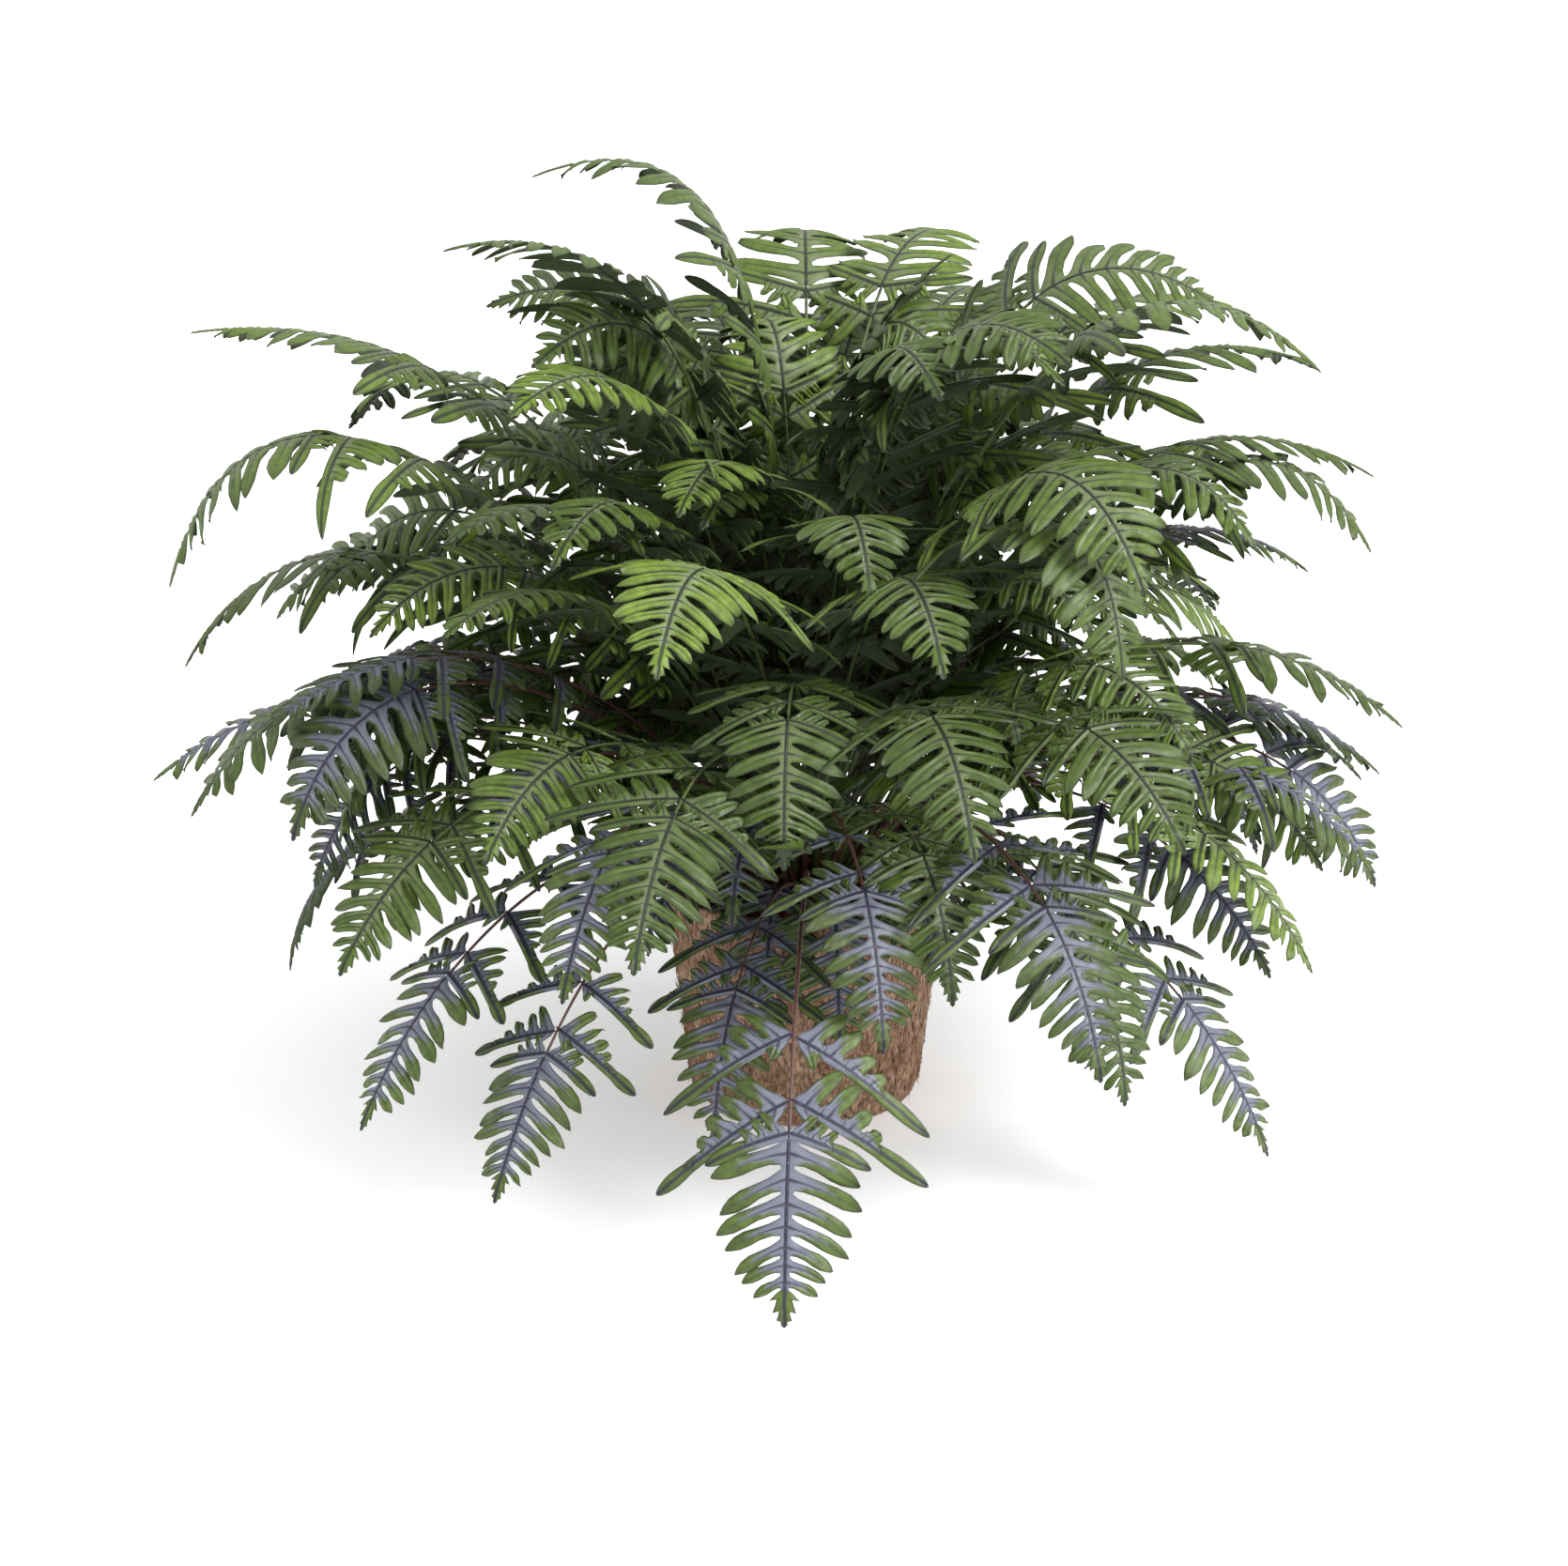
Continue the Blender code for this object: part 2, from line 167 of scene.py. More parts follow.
# Young fronds fill the fern from within: their kind and number, then what their tips' reach and height
# run between (hundredths, as above), the rise, the fall, how far they roll to face the front, and their
# pairs of pinnae.
FILLING = [
    ("silver", 10, (27, 36), (13, 24), 56, 84, 10, 2),
    ("silver", 20, (44, 88), (18, 42), 60, 70, 16, 2),
    ("green", 12, (26, 50), (30, 46), 74, 78, 16, 3),
    ("green", 18, (62, 87), (27, 52), 64, 58, 24, 4),
    ("green", 16, (40, 76), (50, 68), 72, 58, 24, 3),
    ("green", 9, (18, 48), (64, 84), 84, 44, 24, 3),
    ("green", 5, (40, 64), (80, 89), 82, 34, 42, 3),
]
FILLING_SEED = 100
GOLDEN_ANGLE = 137.508
SILVER_FIRST = -12.0
FRONDS_IN_CLUSTER = 4
# Pairs of pinnae that a large green frond carries below those of its solid, and how low they may start.
LOWER_PAIRS = {"silver": 0, "green": 2}
LOWEST_PINNA = 0.10
# How far a leaflet's root strays along the stem, and how far a stem line may miss its solid's tip.
ROOT_STRAYS = 0.0015
MOST_MISS = 0.0005

# One leaf's fine shape, in metres on a frond of full size.
LEAF_THICK = 0.00055
CAMBER = 0.0013
STEM_RADIUS = (0.0019, 0.0011)
BLADE_RIB_RADIUS = (0.00085, 0.00035)
PINNA_RIB_RADIUS = (0.00062, 0.00014)
BLADE_WING = 0.0042
PINNA_WING = 0.0044
SHOULDER_START, SHOULDER_LENGTH = 0.003, 0.060
BLADE_LOBES = 7
LOBE_ACROSS = np.linspace(-1.0, 1.0, 5)
WING_ROWS = (0.0, 0.5, 1.0)
FREE_ROWS = np.array([0.05, 0.18, 0.38, 0.58, 0.76, 0.89, 0.97, 1.0])
# A lobe's half widths along its free rows, as shares of its pitch: rounded on blades, pointed on leaflets.
FREE_WIDTHS = np.array([0.37, 0.315, 0.335, 0.365, 0.33, 0.215, 0.085, 0.0])
POINTED_WIDTHS = np.array([0.42, 0.36, 0.345, 0.33, 0.275, 0.175, 0.075, 0.0])
ROW_CAMBER = np.array([0.0, 0.35, 0.7, 1.0, 1.0, 1.0, 1.0, 0.9, 0.7, 0.4, 0.0])

# A leaflet: where its lobes start, their pitch and how it shrinks outwards, as shares of its length.
LEAFLET_START, LEAFLET_PITCH, PITCH_SHRINK = 0.02, 0.162, 0.055
LEAFLET_LEAN, EAR_LEAN = math.radians(78), math.radians(50)
LEAFLET_DEPTH = 0.33
EAR_LENGTH, LOBE_CURL = 0.17, math.radians(16)
# The tongue that ends it: the way along it, and its width in wings.
TONGUE_SHARES = np.array([0.0, 0.12, 0.26, 0.42, 0.58, 0.74, 0.87, 0.96, 1.0])
TONGUE_WIDTHS = np.array([1.0, 1.10, 1.20, 1.24, 1.16, 0.96, 0.68, 0.36, 0.0])

# How leaflets differ: degrees of turn and bend, shares of their length, droops (per metre) and rolls.
PINNA_TURNS, PINNA_BENDS, PINNA_LENGTH_SHARES = (0, 9), (3, 14), (0.94, 1.04)
PINNA_DROOPS, PINNA_ROLLS = (0.1, 2.2), (-0.22, 0.22)

# A blade's shoulders: their lobes, and how they bend, droop and roll.
SHOULDER_LOBES, SHOULDER_DEPTH, SHOULDER_RIB = 3, 0.38, 0.8
SHOULDER_BEND, SHOULDER_DROOPS, SHOULDER_ROLLS = math.radians(14), (0.2, 1.4), (-0.05, 0.12)
# A blade: how its lobes lean at its root and tip, their reach on the way along it, and where they end.
LEAN_ROOT, LEAN_TIP = math.radians(75), math.radians(58)
REACH_AT, REACHES = (0.05, 0.25, 0.45, 0.62, 0.80), (0.055, 0.052, 0.043, 0.032, 0.020)
LOBED_SHARE = 0.81
# Its tip: the way along it, and its width there in TOOTH_WIDTHs. It starts at the last lobe's wing.
TIP_SHARES = np.array([0.0, 0.08, 0.20, 0.24, 0.38, 0.52, 0.56, 0.68, 0.80, 0.84, 0.93, 1.0])
TIP_TEETH = np.array([0.0, 1.0, 1.9, 0.95, 1.1, 1.45, 0.65, 0.75, 0.95, 0.4, 0.4, 0.0])
TOOTH_WIDTH = 0.0052

# The camera stands in front of the fern, a little above it.
CAMERA_PLACE, CAMERA_AIM = (-0.015, -2.276, 0.9945), (-0.015, 0.0, 0.233)
SENSOR_WIDTH, LENS = 36.0, 77.6
# A broad sun at the right, a little in front of the fern, over a floor that glows faintly.
SUN_TURN, SUN_STRENGTH, SUN_SPREAD = (50, 0, 62), 3.5, 30
FLOOR_REACH, FLOOR_GLOW = 30.0, 0.31


def normalised(rows):
    return rows / np.maximum(np.linalg.norm(rows, axis=-1, keepdims=True), 1e-12)


def spun(rows, angle):
    """The rows turned about +Z by this angle."""
    cos, sin = math.cos(angle), math.sin(angle)
    return rows @ np.array([[cos, sin, 0.0], [-sin, cos, 0.0], [0.0, 0.0, 1.0]])


def round_pot(radius, bearing, height):
    """The point at this distance from the pot's axis, with its bearing from the front towards +X."""
    return radius * math.sin(bearing), -radius * math.cos(bearing), height


# ---------------------------------------------------------------- finishes


def linear(hex_colour):
    """An sRGB hex colour as a linear RGBA tuple."""
    shares = [int(hex_colour[i : i + 2], 16) / 255 for i in (1, 3, 5)]
    return (*(s / 12.92 if s <= 0.04045 else ((s + 0.055) / 1.055) ** 2.4 for s in shares), 1.0)


def feed(tree, made, inputs):
    """Sets a node's inputs: each takes a value, a hex colour, or another node's output, linked to it."""
    for key, value in inputs.items():
        if isinstance(value, bpy.types.NodeSocket):
            tree.links.new(value, made.inputs[key])
        else:
            made.inputs[key].default_value = linear(value) if isinstance(value, str) else value


def node(tree, kind, inputs=None, output=0, **settings):
    """Adds a shader node with its settings and links, and gives its output of this number, name or slice."""
    made = tree.nodes.new("ShaderNode" + kind)
    for key, value in settings.items():
        setattr(made, key, value)
    feed(tree, made, inputs or {})
    return made.outputs[output]


def finish(name, roughness, specular=0.5):
    """A material with its node tree and its Principled shader."""
    made = bpy.data.materials.new(name)
    made.use_nodes = True
    shader = made.node_tree.nodes["Principled BSDF"]
    feed(made.node_tree, shader, {"Roughness": roughness, "Specular IOR Level": specular})
    return made, made.node_tree, shader


def leaf_face(name, body, shade, margin, vein, reach, vein_strength, roughness):
    """A leaf's surface: body colours along the veins, streaked with shade, and margin colours outside.

    reach is how far out from the midrib the body colours run, as a share of a lobe. It reads the mesh's
    own lobe coordinates, so that its lines follow each lobe."""
    made, tree, shader = finish(name, roughness)
    leaf = node(tree, "Attribute", output="Vector", attribute_name="leaf")
    tone = node(tree, "Attribute", output="Fac", attribute_name="tone")
    across, out, rib = node(tree, "SeparateXYZ", {"Vector": leaf}, slice(0, 3))
    aside = node(tree, "Math", {0: across}, operation="ABSOLUTE")
    place = node(tree, "TexCoord", output="Object")
    # Mottling at 6 mm, and brushed streaks a third of a lobe wide that run out along each lobe.
    mottle = node(tree, "TexNoise", {"Vector": place, "Scale": 1 / 0.006, "Detail": 3.0})
    streak_place = node(tree, "CombineXYZ", {"X": across, "Y": out, "Z": tone})
    streak_place = node(tree, "VectorMath", {0: streak_place, 1: (3.2, 1.1, 40.0)}, operation="MULTIPLY")
    streak = node(
        tree, "TexNoise", {"Vector": streak_place, "Scale": 1.0, "Detail": 4.0, "Roughness": 0.6}
    )
    # How far from the pale heart of the lobe: out along it, and out to its sides.
    edge = node(tree, "Math", {0: aside, 1: 1.7}, operation="POWER")
    opened = node(tree, "Math", {0: out, 1: 4.0}, operation="MULTIPLY", use_clamp=True)
    edge = node(tree, "Math", {0: edge, 1: opened}, operation="MULTIPLY")
    edge = node(tree, "Math", {0: edge, 1: 0.34, 2: out}, operation="MULTIPLY_ADD")
    # The basal half of a lobe keeps its heart colour further out than the other half.
    turned = node(tree, "Math", {0: across, 1: 0.26}, operation="MULTIPLY")
    edge = node(tree, "Math", {0: turned, 1: opened, 2: edge}, operation="MULTIPLY_ADD")
    wander = node(tree, "Math", {0: streak, 1: 1.3, 2: -0.65}, operation="MULTIPLY_ADD")
    patch = node(tree, "Math", {0: mottle, 1: 0.35, 2: wander}, operation="MULTIPLY_ADD")
    edge = node(tree, "Math", {0: edge, 1: patch}, operation="ADD")
    share = node(
        tree, "MapRange", {"Value": edge, "From Min": reach, "From Max": reach + 0.30},
        interpolation_type="SMOOTHSTEP",
    )
    heart = node(tree, "Mix", {0: mottle, 6: body[0], 7: body[1]}, 2, data_type="RGBA")
    streaked = node(tree, "MapRange", {"Value": streak, "From Min": 0.45, "From Max": 0.75})
    heart = node(tree, "Mix", {0: streaked, 6: heart, 7: shade}, 2, data_type="RGBA")
    outside = node(tree, "Mix", {0: tone, 6: margin[0], 7: margin[1]}, 2, data_type="RGBA")
    # The margin darkens in blotches and towards each lobe's point.
    blotch = node(tree, "MapRange", {"Value": mottle, "From Min": 0.35, "From Max": 0.8, "To Max": 0.6})
    pointed = node(tree, "MapRange", {"Value": out, "From Min": 0.72, "From Max": 1.0, "To Max": 0.7})
    darker = node(tree, "Math", {0: blotch, 1: pointed}, operation="MAXIMUM")
    outside = node(tree, "Mix", {0: darker, 6: outside, 7: margin[2]}, 2, data_type="RGBA")
    # A dark line follows each lobe's edge.
    rim = node(
        tree, "MapRange", {"Value": aside, "From Min": 0.66, "From Max": 0.98, "To Max": 0.75},
        interpolation_type="SMOOTHSTEP",
    )
    rim = node(tree, "Math", {0: rim, 1: opened}, operation="MULTIPLY")
    # Leaves of a low tone are older and darker.
    aged = node(tree, "MapRange", {"Value": tone, "To Min": 0.42, "To Max": 0.0})
    # Veins: one down each lobe, fading outwards, and the groove beside the midrib.
    lobe_vein = node(
        tree, "MapRange", {"Value": aside, "From Min": 0.05, "From Max": 0.22, "To Min": 1.0, "To Max": 0.0},
        interpolation_type="SMOOTHSTEP",
    )
    fade = node(tree, "Math", {0: out, 1: -0.85, 2: 0.95}, operation="MULTIPLY_ADD", use_clamp=True)
    lobe_vein = node(tree, "Math", {0: lobe_vein, 1: fade}, operation="MULTIPLY")
    midrib = node(
        tree, "MapRange", {"Value": rib, "From Min": 0.8, "From Max": 1.7, "To Min": 0.9, "To Max": 0.0},
        interpolation_type="SMOOTHSTEP",
    )
    line = node(tree, "Math", {0: lobe_vein, 1: midrib}, operation="MAXIMUM")
    line = node(tree, "Math", {0: line, 1: vein_strength}, operation="MULTIPLY")
    colour = heart
    for amount, over in ((share, outside), (rim, margin[2]), (aged, margin[2]), (line, vein)):
        colour = node(tree, "Mix", {0: amount, 6: colour, 7: over}, 2, data_type="RGBA")
    # Side veins, three or four along each lobe, press a herringbone under a grain of 1.2 mm.
    slant = node(tree, "Math", {0: aside, 1: 1.6}, operation="MULTIPLY")
    herring = node(tree, "Math", {0: out, 1: 14.0, 2: slant}, operation="MULTIPLY_ADD")
    herring = node(tree, "Math", {0: herring, 1: 2.0}, operation="PINGPONG")
    grain = node(tree, "TexNoise", {"Vector": place, "Scale": 1 / 0.0012, "Detail": 2.0})
    relief = node(tree, "Math", {0: grain, 1: 0.5, 2: herring}, operation="MULTIPLY_ADD")
    bump = node(tree, "Bump", {"Strength": 0.35, "Distance": 0.0003, "Height": relief})
    gloss = node(tree, "MapRange", {"Value": mottle, "To Min": roughness - 0.08, "To Max": roughness + 0.10})
    feed(tree, shader, {"Base Color": colour, "Normal": bump, "Roughness": gloss})
    return made


def stem_skin(name, light, dark, fleck, roughness):
    """A smooth, faintly ribbed skin: long streaks run along the stem, with small darker flecks."""
    made, tree, shader = finish(name, roughness)
    leaf = node(tree, "Attribute", output="Vector", attribute_name="leaf")
    around, along = node(tree, "SeparateXYZ", {"Vector": leaf}, slice(0, 2))
    place = node(tree, "CombineXYZ", {"X": around, "Y": along})
    stretched = node(tree, "VectorMath", {0: place, 1: (3.0, 9.0, 1.0)}, operation="MULTIPLY")
    streak = node(tree, "TexNoise", {"Vector": stretched, "Scale": 1.0, "Detail": 4.0})
    share = node(tree, "MapRange", {"Value": streak, "From Min": 0.35, "From Max": 0.65})
    # Flecks 2.5 mm apart.
    where = node(tree, "TexCoord", output="Object")
    spots = node(tree, "TexNoise", {"Vector": where, "Scale": 1 / 0.0025, "Detail": 2.0})
    spot = node(tree, "MapRange", {"Value": spots, "From Min": 0.58, "From Max": 0.68})
    colour = light
    for amount, over in ((share, dark), (spot, fleck)):
        colour = node(tree, "Mix", {0: amount, 6: colour, 7: over}, 2, data_type="RGBA")
    bump = node(tree, "Bump", {"Strength": 0.4, "Distance": 0.0003, "Height": streak})
    feed(tree, shader, {"Base Color": colour, "Normal": bump})
    return made


def coir_pulp(name, tan, rust, dark, roughness):
    """Moulded coir: coarse fibre pressed into a mat, tan where it stands proud, near black in its pits with
    painted shade.

    The mesh's tone is its depth, 0 in the deepest pit and 1 on the highest fibre."""
    made, tree, shader = finish(name, roughness, specular=0.25)
    depth = node(tree, "Attribute", output="Fac", attribute_name="tone")
    where = node(tree, "TexCoord", output="Object")
    # Fibre bundles are about 2 mm wide and 7 mm long, upright on the wall, in patches of 18 mm.
    squeezed = node(tree, "VectorMath", {0: where, 1: (1.0, 1.0, 0.32)}, operation="MULTIPLY")
    bundle = node(
        tree, "TexNoise", {"Vector": squeezed, "Scale": 1 / 0.0022, "Detail": 4.0, "Roughness": 0.65}
    )
    patch = node(tree, "TexNoise", {"Vector": where, "Scale": 1 / 0.018, "Detail": 3.0})
    ground = node(tree, "MapRange", {"Value": patch, "From Min": 0.36, "From Max": 0.64})
    crumb = node(tree, "MapRange", {"Value": bundle, "From Min": 0.62, "From Max": 0.34})
    # Painted shade: the deeper the pit, the nearer its colour comes to the dark one.
    pit = node(
        tree, "MapRange", {"Value": depth, "From Min": 0.44, "From Max": 0.04},
        interpolation_type="SMOOTHSTEP",
    )
    colour = tan
    for amount, over in ((ground, rust), (crumb, dark), (pit, dark)):
        colour = node(tree, "Mix", {0: amount, 6: colour, 7: over}, 2, data_type="RGBA")
    bump = node(tree, "Bump", {"Strength": 0.8, "Distance": 0.0008, "Height": bundle})
    feed(tree, shader, {"Base Color": colour, "Normal": bump})
    return made


def crumbly(name, light, dark, grain, roughness):
    """A loose, dull, crumbly surface of two colours with a grain of this size, in metres."""
    made, tree, shader = finish(name, roughness, specular=0.2)
    where = node(tree, "TexCoord", output="Object")
    spots = node(tree, "TexNoise", {"Vector": where, "Scale": 1 / grain, "Detail": 5.0, "Roughness": 0.7})
    share = node(tree, "MapRange", {"Value": spots, "From Min": 0.38, "From Max": 0.62})
    # A low tone darkens the surface; on the soil the tone is lowest in its hollows, which paints shade there.
    tone = node(tree, "Attribute", output="Fac", attribute_name="tone")
    mixed = node(tree, "Math", {0: share, 1: tone}, operation="MULTIPLY")
    colour = node(tree, "Mix", {0: mixed, 6: dark, 7: light}, 2, data_type="RGBA")
    bump = node(tree, "Bump", {"Strength": 0.8, "Distance": 0.0008, "Height": spots})
    feed(tree, shader, {"Base Color": colour, "Normal": bump})
    return made


# ---------------------------------------------------------------- meshes


def grid_quads(rows, columns, closed=False):
    """Quads over a grid of points stored row by row; a closed grid joins its last column to its first."""
    index = np.arange(rows * columns).reshape(rows, columns)
    right = np.roll(index, -1, axis=1)
    if not closed:
        index, right = index[:, :-1], right[:, :-1]
    return np.stack([index[:-1], index[1:], right[1:], right[:-1]], axis=-1).reshape(-1, 4)


def fan(ring, after, centre):
    """Triangles from a ring of points to their centre. Each repeats one point, as quads do at a pole."""
    centres = np.full(len(ring), centre)
    return np.stack([ring, after, centres, centres], axis=1)


def tones(tone):
    """Marks for points that have a tone and no place on a leaf."""
    tone = np.ravel(tone)
    return np.column_stack([np.zeros((len(tone), 3)), tone])


class Solid:
    """Meshes gathered into one piece: points, faces, each face's material number, and each point's marks."""

    def __init__(self):
        self.points, self.faces, self.materials, self.marks = [], [], [], []
        self.count = 0

    def add(self, points, faces, material, marks):
        self.points.append(points)
        self.faces.append(faces + self.count)
        self.materials.append(np.broadcast_to(material, len(faces)))
        self.marks.append(marks)
        self.count += len(points)

    def piece(self, name, materials, replaced=()):
        """Adds the piece to the scene, with its points' leaf and tone values, and hides the imported solids
        that it stands for.
        """
        mesh = bpy.data.meshes.new(name)
        faces = [tuple(dict.fromkeys(face)) for face in np.concatenate(self.faces).tolist()]
        kept = [i for i, face in enumerate(faces) if len(face) > 2]
        mesh.from_pydata(np.concatenate(self.points).tolist(), [], [faces[i] for i in kept])
        for material in materials:
            mesh.materials.append(material)
        numbers = np.concatenate(self.materials).astype(np.int32)[kept]
        mesh.polygons.foreach_set("material_index", numbers)
        marks = np.concatenate(self.marks).astype(np.float32)
        leaf = mesh.attributes.new("leaf", "FLOAT_VECTOR", "POINT")
        leaf.data.foreach_set("vector", marks[:, :3].ravel())
        tone = mesh.attributes.new("tone", "FLOAT", "POINT")
        tone.data.foreach_set("value", marks[:, 3].copy())
        mesh.shade_smooth()
        mesh.set_sharp_from_angle(angle=math.radians(55))
        made = bpy.data.objects.new(name, mesh)
        bpy.context.scene.collection.objects.link(made)
        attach(made, "root")
        if replaced:
            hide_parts(*replaced)


def add_tube(solid, centres, radii, ups, material, tone, sides=8):
    """Adds a closed round tube along the centres. Its marks are the turn round it and the way along it."""
    along = normalised(np.gradient(centres, axis=0))
    right = normalised(np.cross(along, ups))
    up = np.cross(right, along)
    turn = 2 * math.pi * np.arange(sides) / sides
    ring = np.cos(turn)[:, None] * right[:, None] + np.sin(turn)[:, None] * up[:, None]
    rings = centres[:, None] + ring * radii[:, None, None]
    count = len(centres)
    points = np.concatenate([rings.reshape(-1, 3), centres[:1], centres[-1:]])
    quads = grid_quads(count, sides, closed=True)
    first = np.arange(sides)
    after = np.roll(first, -1)
    last = first + (count - 1) * sides
    low, high = count * sides, count * sides + 1
    caps = fan(first, after, low), fan(after + last[0], last, high)
    marks = np.zeros((len(points), 4))
    marks[: count * sides, 0] = np.tile(np.abs(np.linspace(-1, 1, sides, endpoint=False)), count)
    marks[: count * sides, 1] = np.repeat(np.linspace(0, 1, count), sides)
    marks[-1, 1] = 1.0
    marks[:, 3] = tone
    solid.add(points, np.concatenate([quads[:, ::-1], *caps]), material, marks)


# ---------------------------------------------------------------- fronds


class Habit:
    """How one frond differs from the next: the same draws as for the solids."""

    def __init__(self, draw):
        self.sway = math.radians(draw.uniform(-SWAY_VARIES, SWAY_VARIES))
        self.blade = draw.uniform(1.0 - SIZE_VARIES, 1.0 + SIZE_VARIES)
        self.pinna = draw.uniform(1.0 - SIZE_VARIES, 1.0 + SIZE_VARIES)
        self.angle = math.radians(PINNA_ANGLE + draw.uniform(-ANGLE_VARIES, ANGLE_VARIES))


class Rachis:
    """A frond's stem line in the pot's frame, with its right and up at any distance along it."""

    def __init__(self, spec, sway, turn, lift):
        bearing, rise, reach, height, fall, roll, _ = spec
        seat = math.radians(rise - STEM_LEAN)
        rise, fall = math.radians(rise), math.radians(fall)
        self.roll = math.radians(roll)
        base = np.array([math.cos(seat), 0.0, math.sin(seat)]) * (CROWN_ROUND + STEM_GAP)
        base[2] += CROWN_CENTRE
        reach = reach / 100 * FOLIAGE_RADIUS
        tip = np.array([math.cos(sway) * reach, math.sin(sway) * reach, height / 100 * FOLIAGE_HEIGHT + lift])
        up = np.array([math.cos(rise), 0.0, math.sin(rise)])
        down = np.array([math.cos(sway) * math.cos(fall), math.sin(sway) * math.cos(fall), -math.sin(fall)])
        turned = (rise + fall) / 2
        handle = np.linalg.norm(tip - base) * 2 / 3 * math.tan(turned / 2) / math.sin(turned)
        control = [base, base + up * handle, tip - down * handle, tip]
        t = np.linspace(0.0, 1.0, CURVE_STEPS + 1)[:, None]
        s = 1.0 - t
        weights = (s**3, 3 * s * s * t, 3 * s * t * t, t**3)
        places = sum(w * c for w, c in zip(weights, control))
        steps = np.diff(control, axis=0)
        alongs = normalised(s * s * steps[0] + 2 * s * t * steps[1] + t * t * steps[2])
        heading = math.radians(bearing + turn) - sway - math.pi / 2
        places, alongs = spun(places, heading), spun(alongs, heading)
        lengths = np.concatenate([[0.0], np.cumsum(np.linalg.norm(np.diff(places, axis=0), axis=1))])
        self.length = lengths[-1]
        # One more sample carries the line straight on past its tip.
        self.lengths = np.append(lengths, self.length + 1.0)
        self.places = np.vstack([places, places[-1] + alongs[-1]])
        self.alongs = np.vstack([alongs, alongs[-1]])

    def frame_at(self, u):
        """Place, right and up at each of the distances u."""
        place, along = (
            np.stack([np.interp(u, self.lengths, column) for column in rows.T], axis=-1)
            for rows in (self.places, self.alongs)
        )
        along = normalised(along)
        level = normalised(np.cross(along, (0.0, 0.0, 1.0)))
        roll = (self.roll * np.minimum(1.0, u / self.length))[..., None]
        right = level * np.cos(roll) + np.cross(along, level) * np.sin(roll)
        return place, right, np.cross(right, along)

    def surface(self, u, v, h):
        """Points of the frond: u along the rachis, v to its right, h above the drooping leaf."""
        place, right, up = self.frame_at(u)
        return place + right * v[..., None] + up * (h - DROOP * v * v)[..., None]


def nudge_of(spec, points):
    """The turn (degrees) and lift (metres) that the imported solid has: those whose tip lies on its tip.

    The solid's tip is midway between two of its points, one on each side of the stem's thickness."""
    steps = range(-NUDGES_EACH_WAY, NUDGES_EACH_WAY + 1)
    pairs = [(turn * TURN_STEP, lift * LIFT_STEP) for turn in steps for lift in steps]
    reach, height = spec[2] / 100 * FOLIAGE_RADIUS, spec[3] / 100 * FOLIAGE_HEIGHT
    tips = np.array([round_pot(reach, math.radians(spec[0] + turn), height + lift) for turn, lift in pairs])
    apart = np.linalg.norm(tips[:, None] - points[None], axis=2)
    nearest = np.argsort(apart, axis=1)[:, :2]
    misses = np.linalg.norm(points[nearest].mean(axis=1) - tips, axis=1)
    return pairs[int(np.argmin(misses))], float(misses.min())


class Sheet:
    """The leaf parts of one frond before they have a thickness: grids of (u, v, h) and their marks.

    A mark is the way across a lobe (-1 to 1), the way out along it (0 to 1), the distance from the
    midrib in millimetres, and a tone. Points of one part that coincide are joined."""

    def __init__(self):
        self.keys, self.points, self.marks, self.quads = [], [], [], []
        self.count = 0

    def add(self, part, u, v, h, across, out, rib, tone):
        rows, columns = u.shape
        quads = grid_quads(rows, columns)
        flat_u, flat_v = u.ravel()[quads], v.ravel()[quads]
        area = (flat_u[:, 2] - flat_u[:, 0]) * (flat_v[:, 3] - flat_v[:, 1])
        area -= (flat_v[:, 2] - flat_v[:, 0]) * (flat_u[:, 3] - flat_u[:, 1])
        if area.sum() > 0:
            quads = quads[:, ::-1]
        key = np.round(np.stack([u, v], axis=-1).reshape(-1, 2) * 1e5).astype(np.int64)
        self.keys.append(np.column_stack([key, np.full(len(key), part)]))
        self.points.append(np.stack([u, v, h], axis=-1).reshape(-1, 3))
        across, out, rib = (np.broadcast_to(m, u.shape) for m in (across, out, rib))
        self.marks.append(np.stack([across, out, rib, np.full(u.shape, tone)], axis=-1).reshape(-1, 4))
        self.quads.append(quads + self.count)
        self.count += rows * columns

    def solid(self, rachis, thickness):
        """Joins the parts, bends them onto the rachis and gives them two faces and a rim."""
        keys, points, marks = (np.concatenate(rows) for rows in (self.keys, self.points, self.marks))
        _, first, index = np.unique(keys, axis=0, return_index=True, return_inverse=True)
        quads = index.reshape(-1)[np.concatenate(self.quads)]
        points, marks = points[first], marks[first]
        points = rachis.surface(points[:, 0], points[:, 1], points[:, 2])
        corners = points[quads]
        facing = np.cross(corners[:, 2] - corners[:, 0], corners[:, 3] - corners[:, 1])
        normals = np.zeros_like(points)
        for corner in range(4):
            np.add.at(normals, quads[:, corner], facing)
        offset = normalised(normals) * (thickness / 2 * (1.0 - 0.35 * np.abs(marks[:, 0])))[:, None]
        edges = np.concatenate([quads[:, [k, (k + 1) % 4]] for k in range(4)])
        edges = edges[edges[:, 0] != edges[:, 1]]
        _, where, uses = np.unique(np.sort(edges, axis=1), axis=0, return_index=True, return_counts=True)
        rim = edges[where[uses == 1]]
        under = len(points)
        sides = np.column_stack([rim[:, 1], rim[:, 0], rim[:, 0] + under, rim[:, 1] + under])
        faces = np.concatenate([quads, sides, quads[:, ::-1] + under])
        materials = np.concatenate([np.zeros(len(quads) + len(sides), int), np.ones(len(quads), int)])
        return np.concatenate([points + offset, points - offset]), faces, materials, np.tile(marks, (2, 1))


